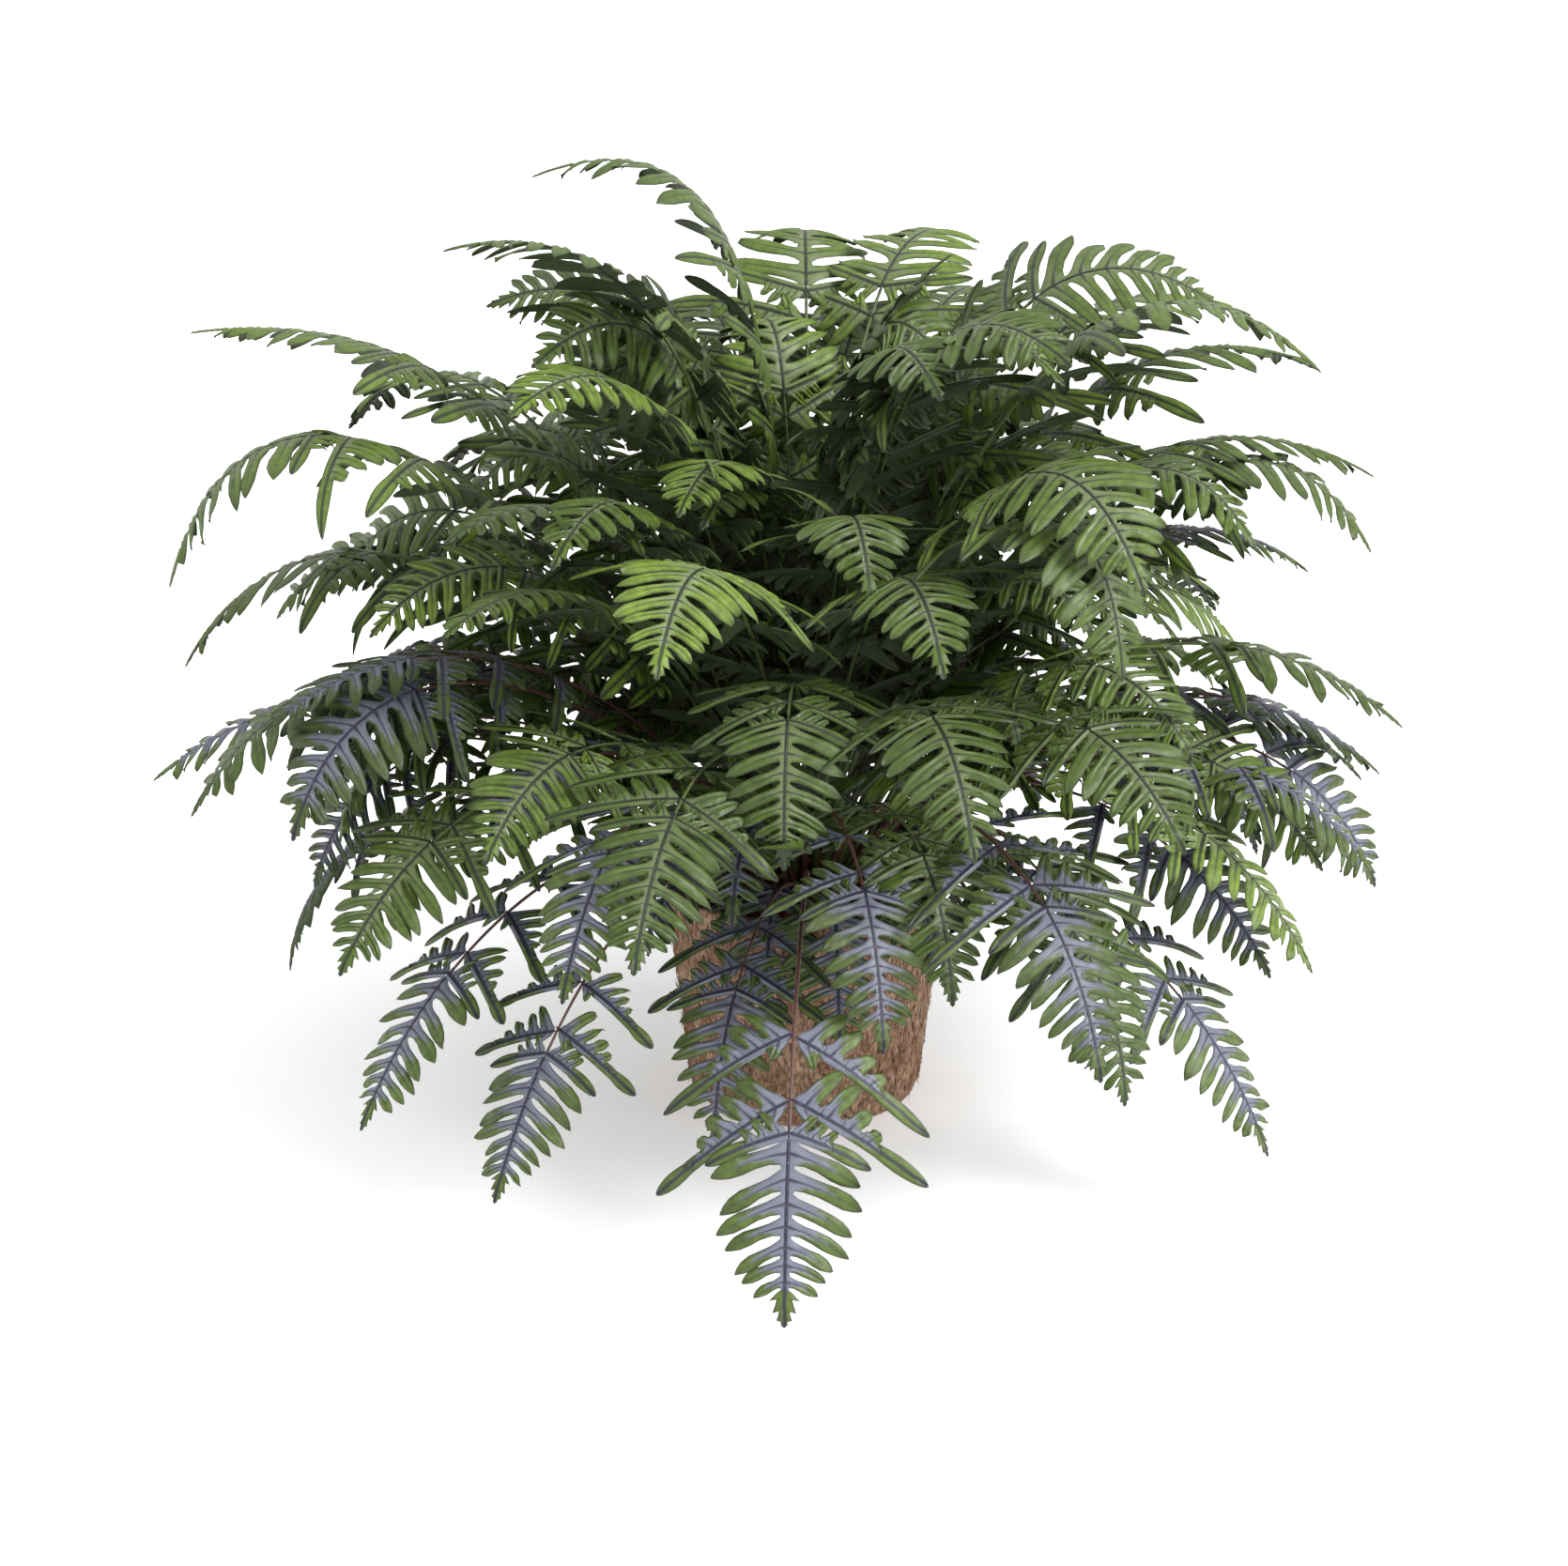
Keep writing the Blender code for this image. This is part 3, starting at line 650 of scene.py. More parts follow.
class Midrib:
    """A leaf's own midrib in the (u, v) plane: where it starts, where it heads and how it bends and droops.

    x runs along it, and y is the distance from it, positive towards the frond's tip."""

    def __init__(self, root, side, heading, bend, length, droop, roll):
        self.root, self.side, self.heading, self.length = root, side, heading, length
        self.bend, self.droop, self.roll = bend, droop, roll

    def place(self, x, y, h):
        turn = self.bend * x / self.length
        radius = self.length / self.bend
        along = radius * np.sin(turn) - y * np.sin(turn)
        aside = radius * (1.0 - np.cos(turn)) + y * np.cos(turn)
        cos, sin = math.cos(self.heading), math.sin(self.heading)
        u = self.root + along * cos + aside * sin
        v = self.side * (along * sin - aside * cos)
        return u, v, h - self.droop * x * x + self.roll * y


def wing_edge(x, share, wing, lean):
    """Points over the wing beside a midrib: x along the midrib, share of the way out to the wing's edge."""
    return x + share * wing / math.tan(lean), share * wing * np.ones_like(x)


def add_lobe(sheet, part, midrib, way, start, end, length, lean, curl, wing, widths, tone, draw):
    """One lobe on a midrib's side (way is 1 towards the frond's tip, -1 towards its base).

    Its first rows cross the wing, and they are shared with its neighbours. The others narrow to a tip."""
    xs = np.linspace(start, end, len(LOBE_ACROSS))
    wing_rows = [wing_edge(xs, share, wing, lean) for share in WING_ROWS]
    inside = min(0.6, wing / (length * math.sin(lean)))
    lean_own = lean + math.radians(draw.uniform(-5, 5))
    s = (inside + (1.0 - inside) * FREE_ROWS)[:, None]
    foot = np.array([(start + end) / 2, 0.0])
    knee = foot + length / 2 * np.array([math.cos(lean_own), math.sin(lean_own)])
    tip = knee + length / 2 * np.array([math.cos(lean_own - curl), math.sin(lean_own - curl)])
    axis = foot * (1 - s) ** 2 + 2 * knee * s * (1 - s) + tip * s * s
    ahead = normalised((knee - foot) * (1 - s) + (tip - knee) * s)
    wave = 1.0 + 0.07 * np.sin(draw.uniform(0, 6) + 9.0 * FREE_ROWS)
    half = (end - start) * math.sin(lean) * widths * wave
    x = axis[:, :1] + ahead[:, 1:] * half[:, None] * LOBE_ACROSS
    y = axis[:, 1:] - ahead[:, :1] * half[:, None] * LOBE_ACROSS
    x = np.vstack([row[0] for row in wing_rows] + [x])
    y = np.vstack([row[1] for row in wing_rows] + [y])
    out = np.concatenate([np.array(WING_ROWS) * inside, s[:, 0]])[:, None]
    ridge = 4 * np.abs(LOBE_ACROSS) * (1 - np.abs(LOBE_ACROSS)) - 0.25 * np.abs(LOBE_ACROSS)
    h = CAMBER * ROW_CAMBER[:, None] * ridge
    h = h - draw.uniform(-0.02, 0.26) * length * np.maximum(0, out - inside) ** 2
    h = h + draw.uniform(-0.5, 0.5) * 0.0050 * LOBE_ACROSS * np.maximum(0, out - inside)
    u, v, height = midrib.place(x, way * y, h)
    sheet.add(part, u, v, height, LOBE_ACROSS * np.ones_like(x), out, y * 1000, tone)


def add_strip(sheet, part, midrib, way, xs, widths, tone, out):
    """A strip beside the midrib out to these widths, with rows at xs. It closes a leaf's plain side."""
    shares = np.array(WING_ROWS)[:, None]
    h = CAMBER * np.array([0.0, 0.75, -0.2])[:, None] * np.minimum(1, widths / 0.003)
    u, v, height = midrib.place(xs[0] + xs[1] * shares, way * widths * shares, h)
    sheet.add(part, u, v, height, shares * np.ones_like(widths), out, shares * widths * 1000, tone)


def side_leaf(sheet, ribs, part, midrib, size, lobes, depth, wing, tone, draw, ear=True):
    """A leaflet: lobes on its basal side, a plain far side with one ear, and a blunt tongue at its end."""
    length = midrib.length
    pitches = length * LEAFLET_PITCH * (1.0 - PITCH_SHRINK * np.arange(lobes))
    marks = np.concatenate([[LEAFLET_START * length], LEAFLET_START * length + np.cumsum(pitches)])
    for i in range(lobes):
        reach = length * depth * (1.0 - 0.155 * i - 0.02 * i * i) * draw.uniform(0.92, 1.08)
        add_lobe(
            sheet, part, midrib, -1, marks[i], marks[i + 1], reach, LEAFLET_LEAN, LOBE_CURL,
            wing, POINTED_WIDTHS, tone, draw,
        )
    # The basal half of the tongue, whose first row lies on the edge of the last lobe.
    xs = marks[-1] + (length - marks[-1]) * TONGUE_SHARES
    slant = wing / math.tan(LEAFLET_LEAN) * (1 - TONGUE_SHARES) ** 2
    out = np.clip(0.35 + 0.65 * TONGUE_SHARES, 0, 1)
    add_strip(sheet, part, midrib, -1, (xs, slant), wing * TONGUE_WIDTHS, tone, out)
    # The far side, plain all along.
    across = len(LOBE_ACROSS)
    body = np.concatenate([np.linspace(marks[i], marks[i + 1], across)[:-1] for i in range(lobes)])
    all_x = np.concatenate([body, xs])
    first = 0
    if ear:
        add_lobe(
            sheet, part, midrib, 1, marks[0], marks[1], EAR_LENGTH * length, EAR_LEAN, LOBE_CURL / 2,
            wing, 0.8 * POINTED_WIDTHS, tone, draw,
        )
        first = across - 1
    along = all_x[first:]
    far_lean = EAR_LEAN if ear else midrib.heading
    far_slant = wing / math.tan(far_lean) * np.maximum(0, 1 - (along - along[0]) / (0.16 * length)) ** 2
    end_share = np.clip((along - marks[-1]) / (length - marks[-1]), 0, 1)
    widths = wing * np.interp(end_share, TONGUE_SHARES, TONGUE_WIDTHS)
    out = 0.10 + 0.90 * np.clip((along / length - 0.35) / 0.65, 0, 1)
    add_strip(sheet, part, midrib, 1, (along, far_slant), widths, tone, out)
    ribs.append((midrib, np.linspace(-0.002, 0.86 * length, 12), size))


def add_blade(sheet, ribs, part, start, length, size, tone, draw):
    """The frond's end: a pair of toothed shoulders, pairs of swept lobes, and a toothed tip."""
    wing = BLADE_WING * size
    first = SHOULDER_START * size + wing / math.sin(LEAN_ROOT)
    pitches = 1.0 - 0.075 * np.arange(BLADE_LOBES)
    pitches *= (LOBED_SHARE * length - first) / pitches.sum()
    marks = first + np.concatenate([[0.0], np.cumsum(pitches)])
    for side in (1, -1):
        spine = Midrib(
            start + SHOULDER_START * size,
            side,
            LEAN_ROOT,
            SHOULDER_BEND,
            SHOULDER_LENGTH * size * draw.uniform(0.92, 1.06),
            draw.uniform(*SHOULDER_DROOPS),
            draw.uniform(*SHOULDER_ROLLS),
        )
        side_leaf(
            sheet, ribs, part + 1 + (side > 0), spine, SHOULDER_RIB * size, SHOULDER_LOBES, SHOULDER_DEPTH,
            wing, tone, draw, ear=False,
        )
        axis = Midrib(start, side, 0.0, 1e-4, length, 0.0, 0.0)
        for i in range(BLADE_LOBES):
            share = marks[i] / length
            reach = size * np.interp(share, REACH_AT, REACHES) * draw.uniform(0.90, 1.06)
            curl = (LEAN_ROOT - LEAN_TIP) * share + LOBE_CURL
            add_lobe(
                sheet, part, axis, -1, marks[i], marks[i + 1], reach, LEAN_ROOT, curl,
                wing * (1 - 0.5 * share), FREE_WIDTHS, tone, draw,
            )
        # The tip: small forward teeth that shrink to a point.
        xs = marks[-1] + (length - marks[-1]) * TIP_SHARES
        wing_tip = wing * (1 - 0.5 * marks[-2] / length)
        slant = np.where(TIP_TEETH > 1.3, 0.0030, 0.0008) * size
        slant[0] = wing_tip / math.tan(LEAN_ROOT)
        widths = np.concatenate([[wing_tip], TOOTH_WIDTH * size * TIP_TEETH[1:]])
        add_strip(sheet, part, axis, -1, (xs, slant), widths, tone, 0.6 + 0.4 * TIP_SHARES)


def grow_frond(solid, kind, spec, habit, turn, lift, draw):
    """Adds one frond's leaves, stem and midribs to the solid, along the rachis that its numbers give."""
    rachis = Rachis(spec, habit.sway, turn, lift)
    size = min(LARGEST_SIZE, max(LEAST_SIZE, rachis.length / FULL_LENGTH))
    blade_length = BLADE_LENGTH * habit.blade * size
    blade = rachis.length - blade_length
    sheet, ribs = Sheet(), []
    frond_tone = draw.random()
    free, spacing = blade - BLADE_NECK * size, PINNA_SPACING * size
    for pair in range(spec[-1] + LOWER_PAIRS[kind]):
        root = free - PINNA_BASE * size / 2
        free -= spacing
        spacing *= PINNA_SPACING_GROWTH
        if root < LOWEST_PINNA:
            break
        for side in (1, -1):
            midrib = Midrib(
                root + draw.uniform(-ROOT_STRAYS, ROOT_STRAYS),
                side,
                habit.angle + math.radians(draw.uniform(*PINNA_TURNS)),
                math.radians(draw.uniform(*PINNA_BENDS)),
                PINNA_LENGTH * habit.pinna * size * draw.uniform(*PINNA_LENGTH_SHARES),
                draw.uniform(*PINNA_DROOPS),
                draw.uniform(*PINNA_ROLLS),
            )
            tone = min(1.0, max(0.0, frond_tone + draw.uniform(-0.25, 0.25)))
            lobes = 4 if draw.random() < 0.6 else 5
            part = 10 * (pair + 1) + side
            wing = PINNA_WING * size
            side_leaf(sheet, ribs, part, midrib, size, lobes, LEAFLET_DEPTH, wing, tone, draw)
    add_blade(sheet, ribs, 0, blade, blade_length, size, frond_tone, draw)
    solid.add(*sheet.solid(rachis, LEAF_THICK))
    # The stem to the blade, the blade's midrib, and the midribs of the leaflets.
    u = np.linspace(0.0, blade + 0.002, 40)
    place, right, up = rachis.frame_at(u)
    low, high = STEM_RADIUS
    radii = np.interp(u, (0.0, 0.012, blade), (low * 1.25, low, high)) * size
    add_tube(solid, place - up * 0.0006, radii, up, 2, frond_tone, sides=10)
    u = np.linspace(blade - 0.002, rachis.length - 0.004, 24)
    place, right, up = rachis.frame_at(u)
    radii = np.linspace(*BLADE_RIB_RADIUS, len(u)) * size
    add_tube(solid, place, radii, up, 3, frond_tone, sides=8)
    for midrib, xs, rib_size in ribs:
        u, v, h = midrib.place(xs, np.zeros_like(xs), np.zeros_like(xs))
        radii = np.linspace(*PINNA_RIB_RADIUS, len(xs)) * rib_size
        add_tube(solid, rachis.surface(u, v, h), radii, rachis.frame_at(u)[2], 3, frond_tone, sides=6)


def make_frond(name, kind, spec, habit, materials):
    """Builds one large frond and puts it in its solid's place."""
    points = np.array([vertex.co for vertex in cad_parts[name].data.vertices])
    points = np.unique(np.round(points, 6), axis=0)
    (turn, lift), miss = nudge_of(spec, points)
    if miss > MOST_MISS:
        raise ValueError(f"{name} doesn't lie on its solid: its tip misses by {miss * 1000:.2f} mm")
    solid = Solid()
    grow_frond(solid, kind, spec, habit, turn, lift, random.Random(name))
    solid.piece(name, materials, [name])


def make_filling(looks):
    """Young fronds under the large ones, their tips spread by the golden angle, in clusters of a few."""
    clusters = {"silver": 0, "green": 0}
    for group, (kind, count, reaches, heights, rise, fall, facing, pairs) in enumerate(FILLING):
        draw = random.Random(FILLING_SEED + group)
        turns = np.sort(np.arange(count) * GOLDEN_ANGLE % 360)
        gaps = np.diff(np.append(turns, turns[0] + 360))
        widest = int(np.argmax(gaps))
        # The widest gap between the bearings of green fronds is at the front, where silver ones hang.
        first = -turns[widest] - gaps[widest] / 2 if kind == "green" else SILVER_FIRST
        solid = Solid()
        for i in range(count):
            share = math.sqrt((i + 0.5) / count)
            reach = reaches[0] + (reaches[1] - reaches[0]) * share
            height = draw.uniform(*heights)
            bearing = first + i * GOLDEN_ANGLE
            rises, falls = rise + draw.uniform(-5, 5), fall + draw.uniform(-10, 10)
            roll = facing * math.sin(math.radians(bearing)) + draw.uniform(-16, 16)
            spec = (bearing, rises, reach, height, falls, roll, pairs)
            grow_frond(solid, kind, spec, Habit(draw), 0.0, 0.0, draw)
            if (i + 1) % FRONDS_IN_CLUSTER == 0 or i == count - 1:
                clusters[kind] += 1
                solid.piece(f"{kind}_young_fronds_{clusters[kind]:02d}", looks[kind])
                solid = Solid()


def make_fronds():
    # Japanese painted-fern leaf: a satin skin, silver-lilac over the veins and fresh green outside them.
    silver = leaf_face(
        "silver_leaf_face", ("#7F8292", "#6D6F80"), "#55566C", ("#46591A", "#60752C", "#1C260A"),
        "#181228", 0.50, 0.92, 0.52,
    )
    # Its underside: the same leaf, duller, and darkened with painted shade, with soft violet veins.
    silver_under_painted_shade = leaf_face(
        "silver_leaf_underside_painted_shade", ("#565866", "#4A4C5A"), "#44465A", ("#3A4428", "#465032", "#2A3220"),
        "#3A3450", 0.40, 0.6, 0.62,
    )
    # Green fern leaf: the same satin skin with a pale grey-green heart and thin dark veins.
    green = leaf_face(
        "green_leaf_face", ("#75854F", "#5D6E38"), "#78846F", ("#526A1C", "#738C30", "#1E2A0A"),
        "#101810", 0.34, 0.90, 0.50,
    )
    # Its underside: dull, and darkened with painted shade, with soft veins.
    green_under_painted_shade = leaf_face(
        "green_leaf_underside_painted_shade", ("#434E32", "#384428"), "#474F40", ("#36421F", "#424F27", "#262E15"),
        "#3B4A38", 0.34, 0.5, 0.62,
    )
    # Fern stems: a hard smooth skin with a low sheen, wine brown on silver fronds and olive on green ones.
    silver_stem = stem_skin("wine_brown_stem", "#5E3A30", "#432722", "#2C1A1A", 0.45)
    green_stem = stem_skin("olive_stem", "#566434", "#424E26", "#2C341A", 0.48)
    # Fern midribs: the same skin, nearly black, so that each leaf shows a dark line down its middle.
    silver_rib = stem_skin("dark_plum_midrib", "#241C38", "#140E22", "#4A446A", 0.5)
    green_rib = stem_skin("dark_olive_midrib", "#182014", "#0E140C", "#34442A", 0.5)
    looks = {
        "silver": (silver, silver_under_painted_shade, silver_stem, silver_rib),
        "green": (green, green_under_painted_shade, green_stem, green_rib),
    }
    draw = random.Random(HABIT_SEED)
    counts = {"silver": 0, "green": 0}
    for silvers, greens in ((SILVER, GREEN), (SILVER_INNER, GREEN_INNER)):
        fronds = [("silver", spec, Habit(draw)) for spec in silvers]
        fronds += [("green", spec, Habit(draw)) for spec in greens]
        fronds.sort(key=lambda frond: -frond[1][1])
        for kind, spec, habit in fronds:
            counts[kind] += 1
            make_frond(f"{kind}_frond_{counts[kind]:02d}", kind, spec, habit, looks[kind])
    make_filling(looks)


# ---------------------------------------------------------------- pot and soil


def wall_radius(height):
    return POT_BASE_RADIUS + (POT_RIM_RADIUS - POT_BASE_RADIUS) * height / POT_HEIGHT


def pot_profile():
    """Points (radius, height) out along the underside, up the wall, over the rim and down inside."""
    inner, top = POT_BASE_RADIUS - POT_FOOT_ROUND, POT_HEIGHT - POT_RIM_ROUND
    foot = [
        (inner + POT_FOOT_ROUND * math.sin(a), POT_FOOT_ROUND - POT_FOOT_ROUND * math.cos(a))
        for a in np.linspace(0, math.pi / 2, 9)
    ]
    under = [(r, 0.0) for r in np.linspace(0.0, inner, 24)[:-1]]
    wall = [(wall_radius(z), z) for z in np.linspace(POT_FOOT_ROUND, top, 112)[1:]]
    half = POT_WALL / 2
    rim = [
        (wall_radius(POT_HEIGHT) - half + half * math.cos(a), top + POT_RIM_ROUND * math.sin(a))
        for a in np.linspace(0, math.pi, 12)[1:]
    ]
    inside = np.linspace(POT_HEIGHT - 0.006, SOIL_LEVEL - 0.012, 12)
    return np.array(under + foot + wall + rim + [(wall_radius(z) - POT_WALL, z) for z in inside])


def pressed_fibre(place):
    """How far a point of the mat stands out, from -1 in a pit to 1 on a bundle. Pits are upright slots."""
    # Lumps about 18 mm apart, bundles 4 mm apart and pits 3 mm apart, the last two drawn out upwards.
    upright = Vector((place.x, place.y, place.z * 0.42))
    lumps = noise.fractal(place * 55, 1.0, 2.0, 3)
    bundles = noise.fractal(upright * 260, 0.8, 2.1, 4)
    pits = noise.noise(upright * 330 + Vector((9.1, 3.7, 5.3)))
    pit = min(0.0, pits + 0.22) * 2.6
    return 0.35 * lumps + 0.40 * bundles + pit


def make_pot():
    # Moulded coir pulp: a rough, dull mat of coconut fibre with small upright pits, tan to rust brown, with
    # painted shade in the pits.
    coir = coir_pulp("moulded_coir_with_painted_pit_shade", "#BA9A80", "#9C7C64", "#4E3628", 0.93)
    # Loose coconut fibre: single strands that the press missed, straw to brown and a little smoother.
    strand = crumbly("loose_coir_strand", "#C29A72", "#7A5238", 0.004, 0.85)
    profile = pot_profile()
    slope = normalised(np.gradient(profile, axis=0))
    outward = np.stack([slope[:, 1], -slope[:, 0]], axis=1)
    points = np.empty((len(profile), POT_AROUND, 3))
    tone = np.empty((len(profile), POT_AROUND))
    for i, ((radius, height), (side, lift)) in enumerate(zip(profile, outward)):
        for k in range(POT_AROUND):
            bearing = 2 * math.pi * k / POT_AROUND
            # The mat is smooth in the middle of the underside, where its points crowd together.
            depth = pressed_fibre(Vector(round_pot(radius, bearing, height))) * min(1.0, radius / 0.02)
            # The tone keeps the depth, from which the coir paints shade into the pits.
            tone[i, k] = 0.55 + 0.42 * depth
            step = FIBRE_RELIEF * depth - FIBRE_SUNK
            if height < 0.003:
                step = min(step, 0.0) * 0.5
            points[i, k] = round_pot(radius + side * step, bearing, max(0.0, height + lift * step))
    solid = Solid()
    quads = grid_quads(len(profile), POT_AROUND, closed=True)[:, ::-1]
    solid.add(points.reshape(-1, 3), quads, 0, tones(tone))
    draw = random.Random(POT_SEED)
    for _ in range(WALL_STRANDS):
        add_wall_strand(solid, draw)
    solid.piece("fibre_pot", (coir, strand), ["fibre_pot"])


def add_wall_strand(solid, draw):
    """A loose fibre that lies on the wall in a shallow curve, with its ends a little free."""
    steps = 8
    bearing, height = draw.uniform(0, 2 * math.pi), draw.uniform(0.006, POT_HEIGHT - 0.004)
    lean, length, bow = draw.gauss(0.0, 0.7), draw.uniform(*WALL_STRAND_LENGTHS), draw.uniform(-14, 14)
    loose = draw.uniform(0.0, 0.0022)
    centres = []
    for i in range(steps):
        s = (i / (steps - 1) - 0.5) * length
        z = height + s * math.cos(lean) + bow * s * s * math.sin(lean)
        b = bearing + (s * math.sin(lean) - bow * s * s * math.cos(lean)) / STRAND_RADIUS
        z = min(max(z, 0.002), POT_HEIGHT)
        r = wall_radius(z) + 0.0002 + loose * (2 * s / length) ** 2
        centres.append(round_pot(r, b, z))
    centres = np.array(centres)
    ups = centres * (1, 1, 0)
    radii = np.full(steps, draw.uniform(*WALL_STRAND_RADII))
    radii[[0, -1]] *= 0.4
    add_tube(solid, centres, radii, ups, 1, draw.random(), sides=5)


def make_soil():
    # Peat and coco-chip potting mix: dull, crumbly and dark red-brown, with lighter chips and strands.
    peat = crumbly("peat_mix", "#6A3A28", "#24120C", 0.0022, 0.98)
    # Chopped coconut husk: lumps of a few millimetres, warmer and lighter than the peat.
    chip = crumbly("coco_chip", "#A0583E", "#4A2418", 0.0030, 0.9)
    # Coconut fibre in the mix: thin straw-coloured threads.
    strand = crumbly("soil_strand", "#B98A62", "#6E4632", 0.0040, 0.85)
    edge = wall_radius(SOIL_LEVEL) - POT_WALL + 0.0004
    rows = 60
    points = np.empty((rows, SOIL_AROUND, 3))
    tone = np.empty((rows, SOIL_AROUND))
    for i, radius in enumerate(np.linspace(0.0, edge, rows)):
        for k in range(SOIL_AROUND):
            flat = Vector(round_pot(radius, 2 * math.pi * k / SOIL_AROUND, 0.0))
            crumbs = noise.fractal(flat * 240, 0.7, 2.1, 4)
            swell = noise.fractal(flat * 40, 1.0, 2.0, 2)
            points[i, k] = (flat.x, flat.y, SOIL_LEVEL - 0.001 + 0.0022 * swell + 0.0016 * crumbs)
            # The tone falls with the crumbs' height, so the hollows between them take painted shade.
            tone[i, k] = 0.6 + 0.5 * crumbs
    # A skirt takes the soil down inside the pot.
    skirt = points[-1:] * (0.985, 0.985, 1.0) - (0, 0, 0.016)
    points = np.concatenate([points, skirt])
    tone = np.clip(np.concatenate([tone, tone[-1:]]), 0, 1)
    solid = Solid()
    solid.add(points.reshape(-1, 3), grid_quads(rows + 1, SOIL_AROUND, closed=True), 0, tones(tone))
    draw = random.Random(SOIL_SEED)
    for _ in range(SOIL_CHIPS):
        radius, bearing = edge * math.sqrt(draw.random()) * 0.985, draw.uniform(0, 2 * math.pi)
        centre = np.array(round_pot(radius, bearing, SOIL_LEVEL + draw.uniform(-0.001, 0.0022)))
        add_chip(solid, centre, draw.uniform(*CHIP_SIZES), draw)
    for _ in range(SOIL_STRANDS):
        add_soil_strand(solid, edge, draw)
    solid.piece("soil_plug", (peat, chip, strand), ["soil_plug"])


def add_soil_strand(solid, edge, draw):
    """A fibre that lies on the soil in a shallow arch, held inside the soil's edge."""
    # Spread evenly over a disc a little inside the pot's wall.
    radius, bearing = 0.086 * math.sqrt(draw.random()), draw.uniform(0, 2 * math.pi)
    start = np.array(round_pot(radius, bearing, SOIL_LEVEL + 0.0012))
    lean, length = draw.uniform(0, 2 * math.pi), draw.uniform(*SOIL_STRAND_LENGTHS)
    way = np.linspace(-0.5, 0.5, 7)
    flat = np.stack([way, draw.uniform(-0.5, 0.5) * way * way, np.zeros(7)], axis=1) * length
    centres = start + spun(flat, lean)
    centres[:, 2] += 0.0020 * (1 - (2 * way) ** 2)
    out = np.linalg.norm(centres[:, :2], axis=1, keepdims=True)
    centres[:, :2] *= np.minimum(1.0, (edge - 0.001) / np.maximum(out, 1e-6))
    radii = np.full(7, draw.uniform(*SOIL_STRAND_RADII))
    add_tube(solid, centres, radii, np.tile((0.0, 0.0, 1.0), (7, 1)), 2, draw.random(), sides=5)


def add_chip(solid, centre, size, draw):
    """A chip of coconut husk: a squashed, irregular lump."""
    rings, around = 4, 7
    points = []
    squash = (draw.uniform(0.7, 1.5), draw.uniform(0.6, 1.2), draw.uniform(0.4, 0.8))
    turn = draw.uniform(0, math.pi)
    for i in range(rings):
        polar = math.pi * (i + 0.5) / rings
        for k in range(around):
            a = 2 * math.pi * k / around
            grow = size * draw.uniform(0.75, 1.2)
            flat = grow * math.sin(polar)
            points.append((flat * math.cos(a), flat * math.sin(a), grow * math.cos(polar)))
    points += [(0, 0, size), (0, 0, -size)]
    count = rings * around
    first = np.arange(around)
    after = np.roll(first, -1)
    low = (rings - 1) * around
    caps = fan(after, first, count), fan(first + low, after + low, count + 1)
    faces = np.concatenate([grid_quads(rings, around, closed=True), *caps])
    points = spun(np.array(points) * squash, turn) + centre
    solid.add(points, faces, 1, tones(np.full(count + 2, draw.uniform(0.2, 1.0))))


def make_crown():
    # Fern rhizome: woody, fissured and dull dark brown.
    bark = crumbly("rhizome_bark", "#5A3A26", "#2A180E", 0.0025, 0.92)
    # Rhizome scales: thin dry flakes, tan with brown blotches, smoother than the bark.
    scale = crumbly("papery_scale", "#9A6E48", "#4E301C", 0.0035, 0.75)
    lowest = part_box("crown")[0].z
    rows = 24
    cut = math.asin((lowest - CROWN_CENTRE) / CROWN_ROUND)
    points = np.empty((rows, CROWN_AROUND, 3))
    for i, angle in enumerate(np.linspace(math.pi / 2, cut, rows)):
        for k in range(CROWN_AROUND):
            way = Vector(round_pot(math.cos(angle), 2 * math.pi * k / CROWN_AROUND, math.sin(angle)))
            radius = CROWN_ROUND + 0.0016 * noise.fractal(way * 14, 1.0, 2.0, 4) - 0.001
            points[i, k] = (way.x * radius, way.y * radius, max(CROWN_CENTRE + way.z * radius, lowest))
    solid = Solid()
    tone = np.full(rows * CROWN_AROUND, 0.7)
    solid.add(points.reshape(-1, 3), grid_quads(rows, CROWN_AROUND, closed=True), 0, tones(tone))
    draw = random.Random(CROWN_SEED)
    for _ in range(CROWN_SCALES):
        angle = math.asin(draw.uniform(math.sin(cut + 0.05), 0.999))
        bearing = draw.uniform(0, 2 * math.pi)
        add_scale(solid, angle, bearing, draw.uniform(*SCALE_LENGTHS), draw)
    solid.piece("crown", (bark, scale), ["crown"])


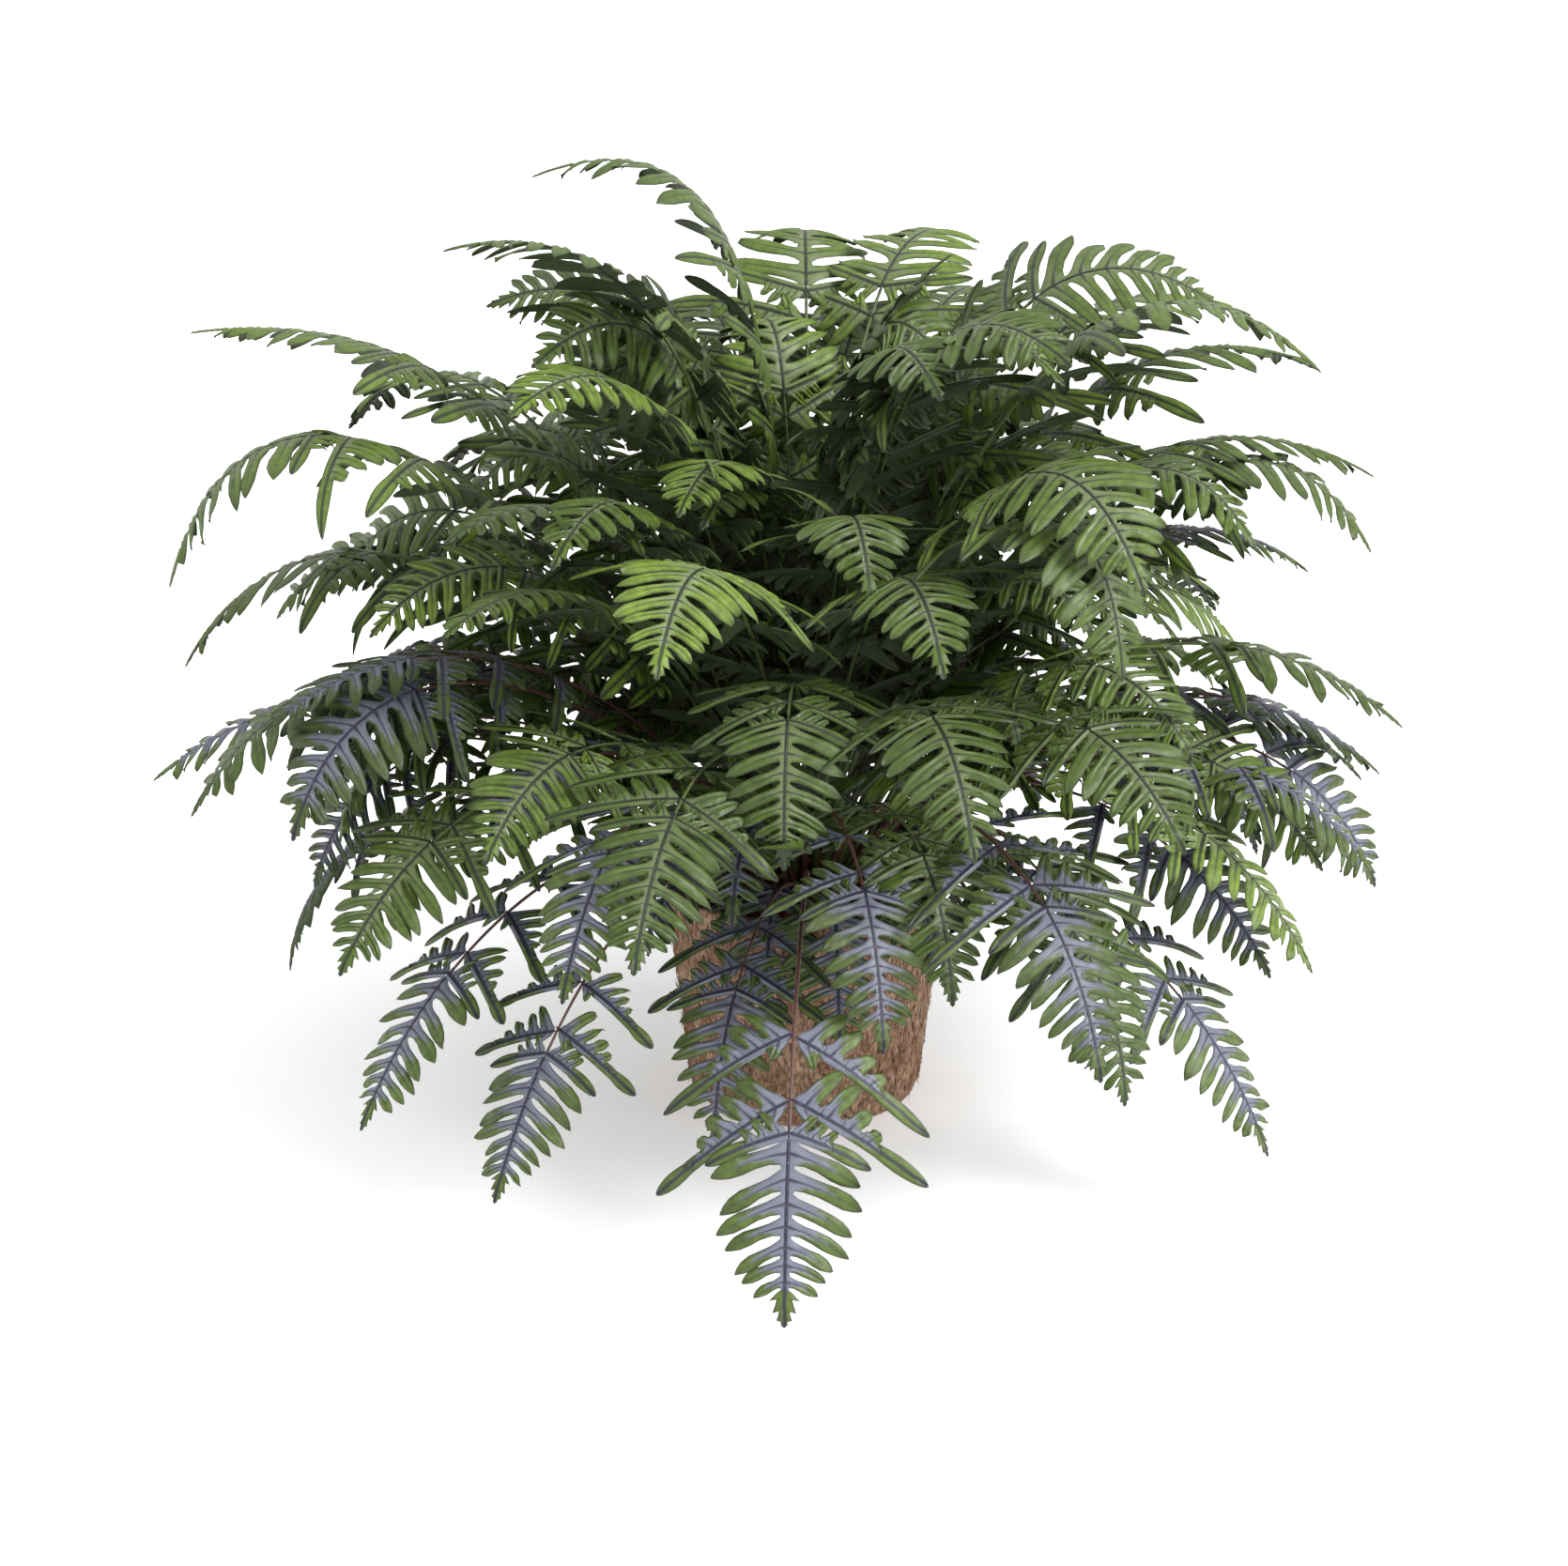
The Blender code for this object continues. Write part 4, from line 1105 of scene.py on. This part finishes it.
def add_scale(solid, angle, bearing, length, draw):
    """A pointed scale that lies on the crown with its tip lifted a little, uphill."""
    out = np.array(round_pot(math.cos(angle), bearing, math.sin(angle)))
    uphill = normalised(np.array([0.0, 0.0, 1.0]) - out * out[2] + 1e-6)
    side = np.cross(out, uphill)
    base = np.array([0.0, 0.0, CROWN_CENTRE]) + out * (CROWN_ROUND - 0.0006)
    width = length * draw.uniform(0.22, 0.32)
    way = np.array([0.0, 0.3, 0.6, 0.85, 1.0])
    half = width * np.array([0.7, 1.0, 0.75, 0.35, 0.0])
    lift = length * draw.uniform(0.10, 0.35) * way**2 + 0.0004
    rows = []
    for thick in (0.0, 0.00025):
        for across in (-1.0, 0.0, 1.0):
            bowl = 0.25 * width * (1 - abs(across))
            rows.append(
                base
                + uphill * (way * length)[:, None]
                + side * (across * half)[:, None]
                + out * (lift + bowl - thick)[:, None]
            )
    points = np.array(rows)
    # Up the outer face, round its edge and down the inner face, as one closed band.
    band = np.concatenate([points[:3], points[5:2:-1]])
    columns = len(way)
    first, last = np.arange(columns - 1), np.arange(5 * columns, 6 * columns - 1)
    faces = np.concatenate([grid_quads(6, columns), np.stack([last, first, first + 1, last + 1], axis=1)])
    solid.add(band.reshape(-1, 3), faces, 1, tones(np.full(6 * columns, draw.uniform(0.2, 1.0))))


# ---------------------------------------------------------------- stage


def make_stage():
    # Matt white paint: dull and even, with a faint glow that softens the shadow the foliage throws.
    paint, tree, shader = finish("matt_white_floor", 0.9, specular=0.1)
    glow = {"Emission Color": "#FFFFFF", "Emission Strength": FLOOR_GLOW}
    feed(tree, shader, {"Base Color": "#F7F7F7", **glow})
    mesh = bpy.data.meshes.new("floor")
    corners = [(x * FLOOR_REACH, y * FLOOR_REACH, 0) for x, y in ((-1, -1), (1, -1), (1, 1), (-1, 1))]
    mesh.from_pydata(corners, [], [(0, 1, 2, 3)])
    mesh.materials.append(paint)
    floor = bpy.data.objects.new("floor", mesh)
    bpy.context.scene.collection.objects.link(floor)
    floor.location.z = -0.0005
    world = bpy.data.worlds.new("studio")
    world.use_nodes = True
    feed(world.node_tree, world.node_tree.nodes["Background"], {"Color": "#FFFFFF", "Strength": 1.0})
    bpy.context.scene.world = world
    data = bpy.data.lights.new("key", "SUN")
    data.energy, data.angle = SUN_STRENGTH, math.radians(SUN_SPREAD)
    light = bpy.data.objects.new("key", data)
    light.rotation_euler = [math.radians(a) for a in SUN_TURN]
    bpy.context.scene.collection.objects.link(light)


def make_camera():
    data = bpy.data.cameras.new("camera")
    data.sensor_width, data.lens = SENSOR_WIDTH, LENS
    data.clip_end = 100.0
    camera = bpy.data.objects.new("camera", data)
    camera.location = CAMERA_PLACE
    aim = Vector(CAMERA_AIM) - camera.location
    camera.rotation_euler = aim.to_track_quat("-Z", "Y").to_euler()
    bpy.context.scene.collection.objects.link(camera)
    bpy.context.scene.camera = camera
    bpy.context.scene.view_settings.view_transform = "Standard"


make_camera()
make_stage()
make_pot()
make_soil()
make_crown()
make_fronds()
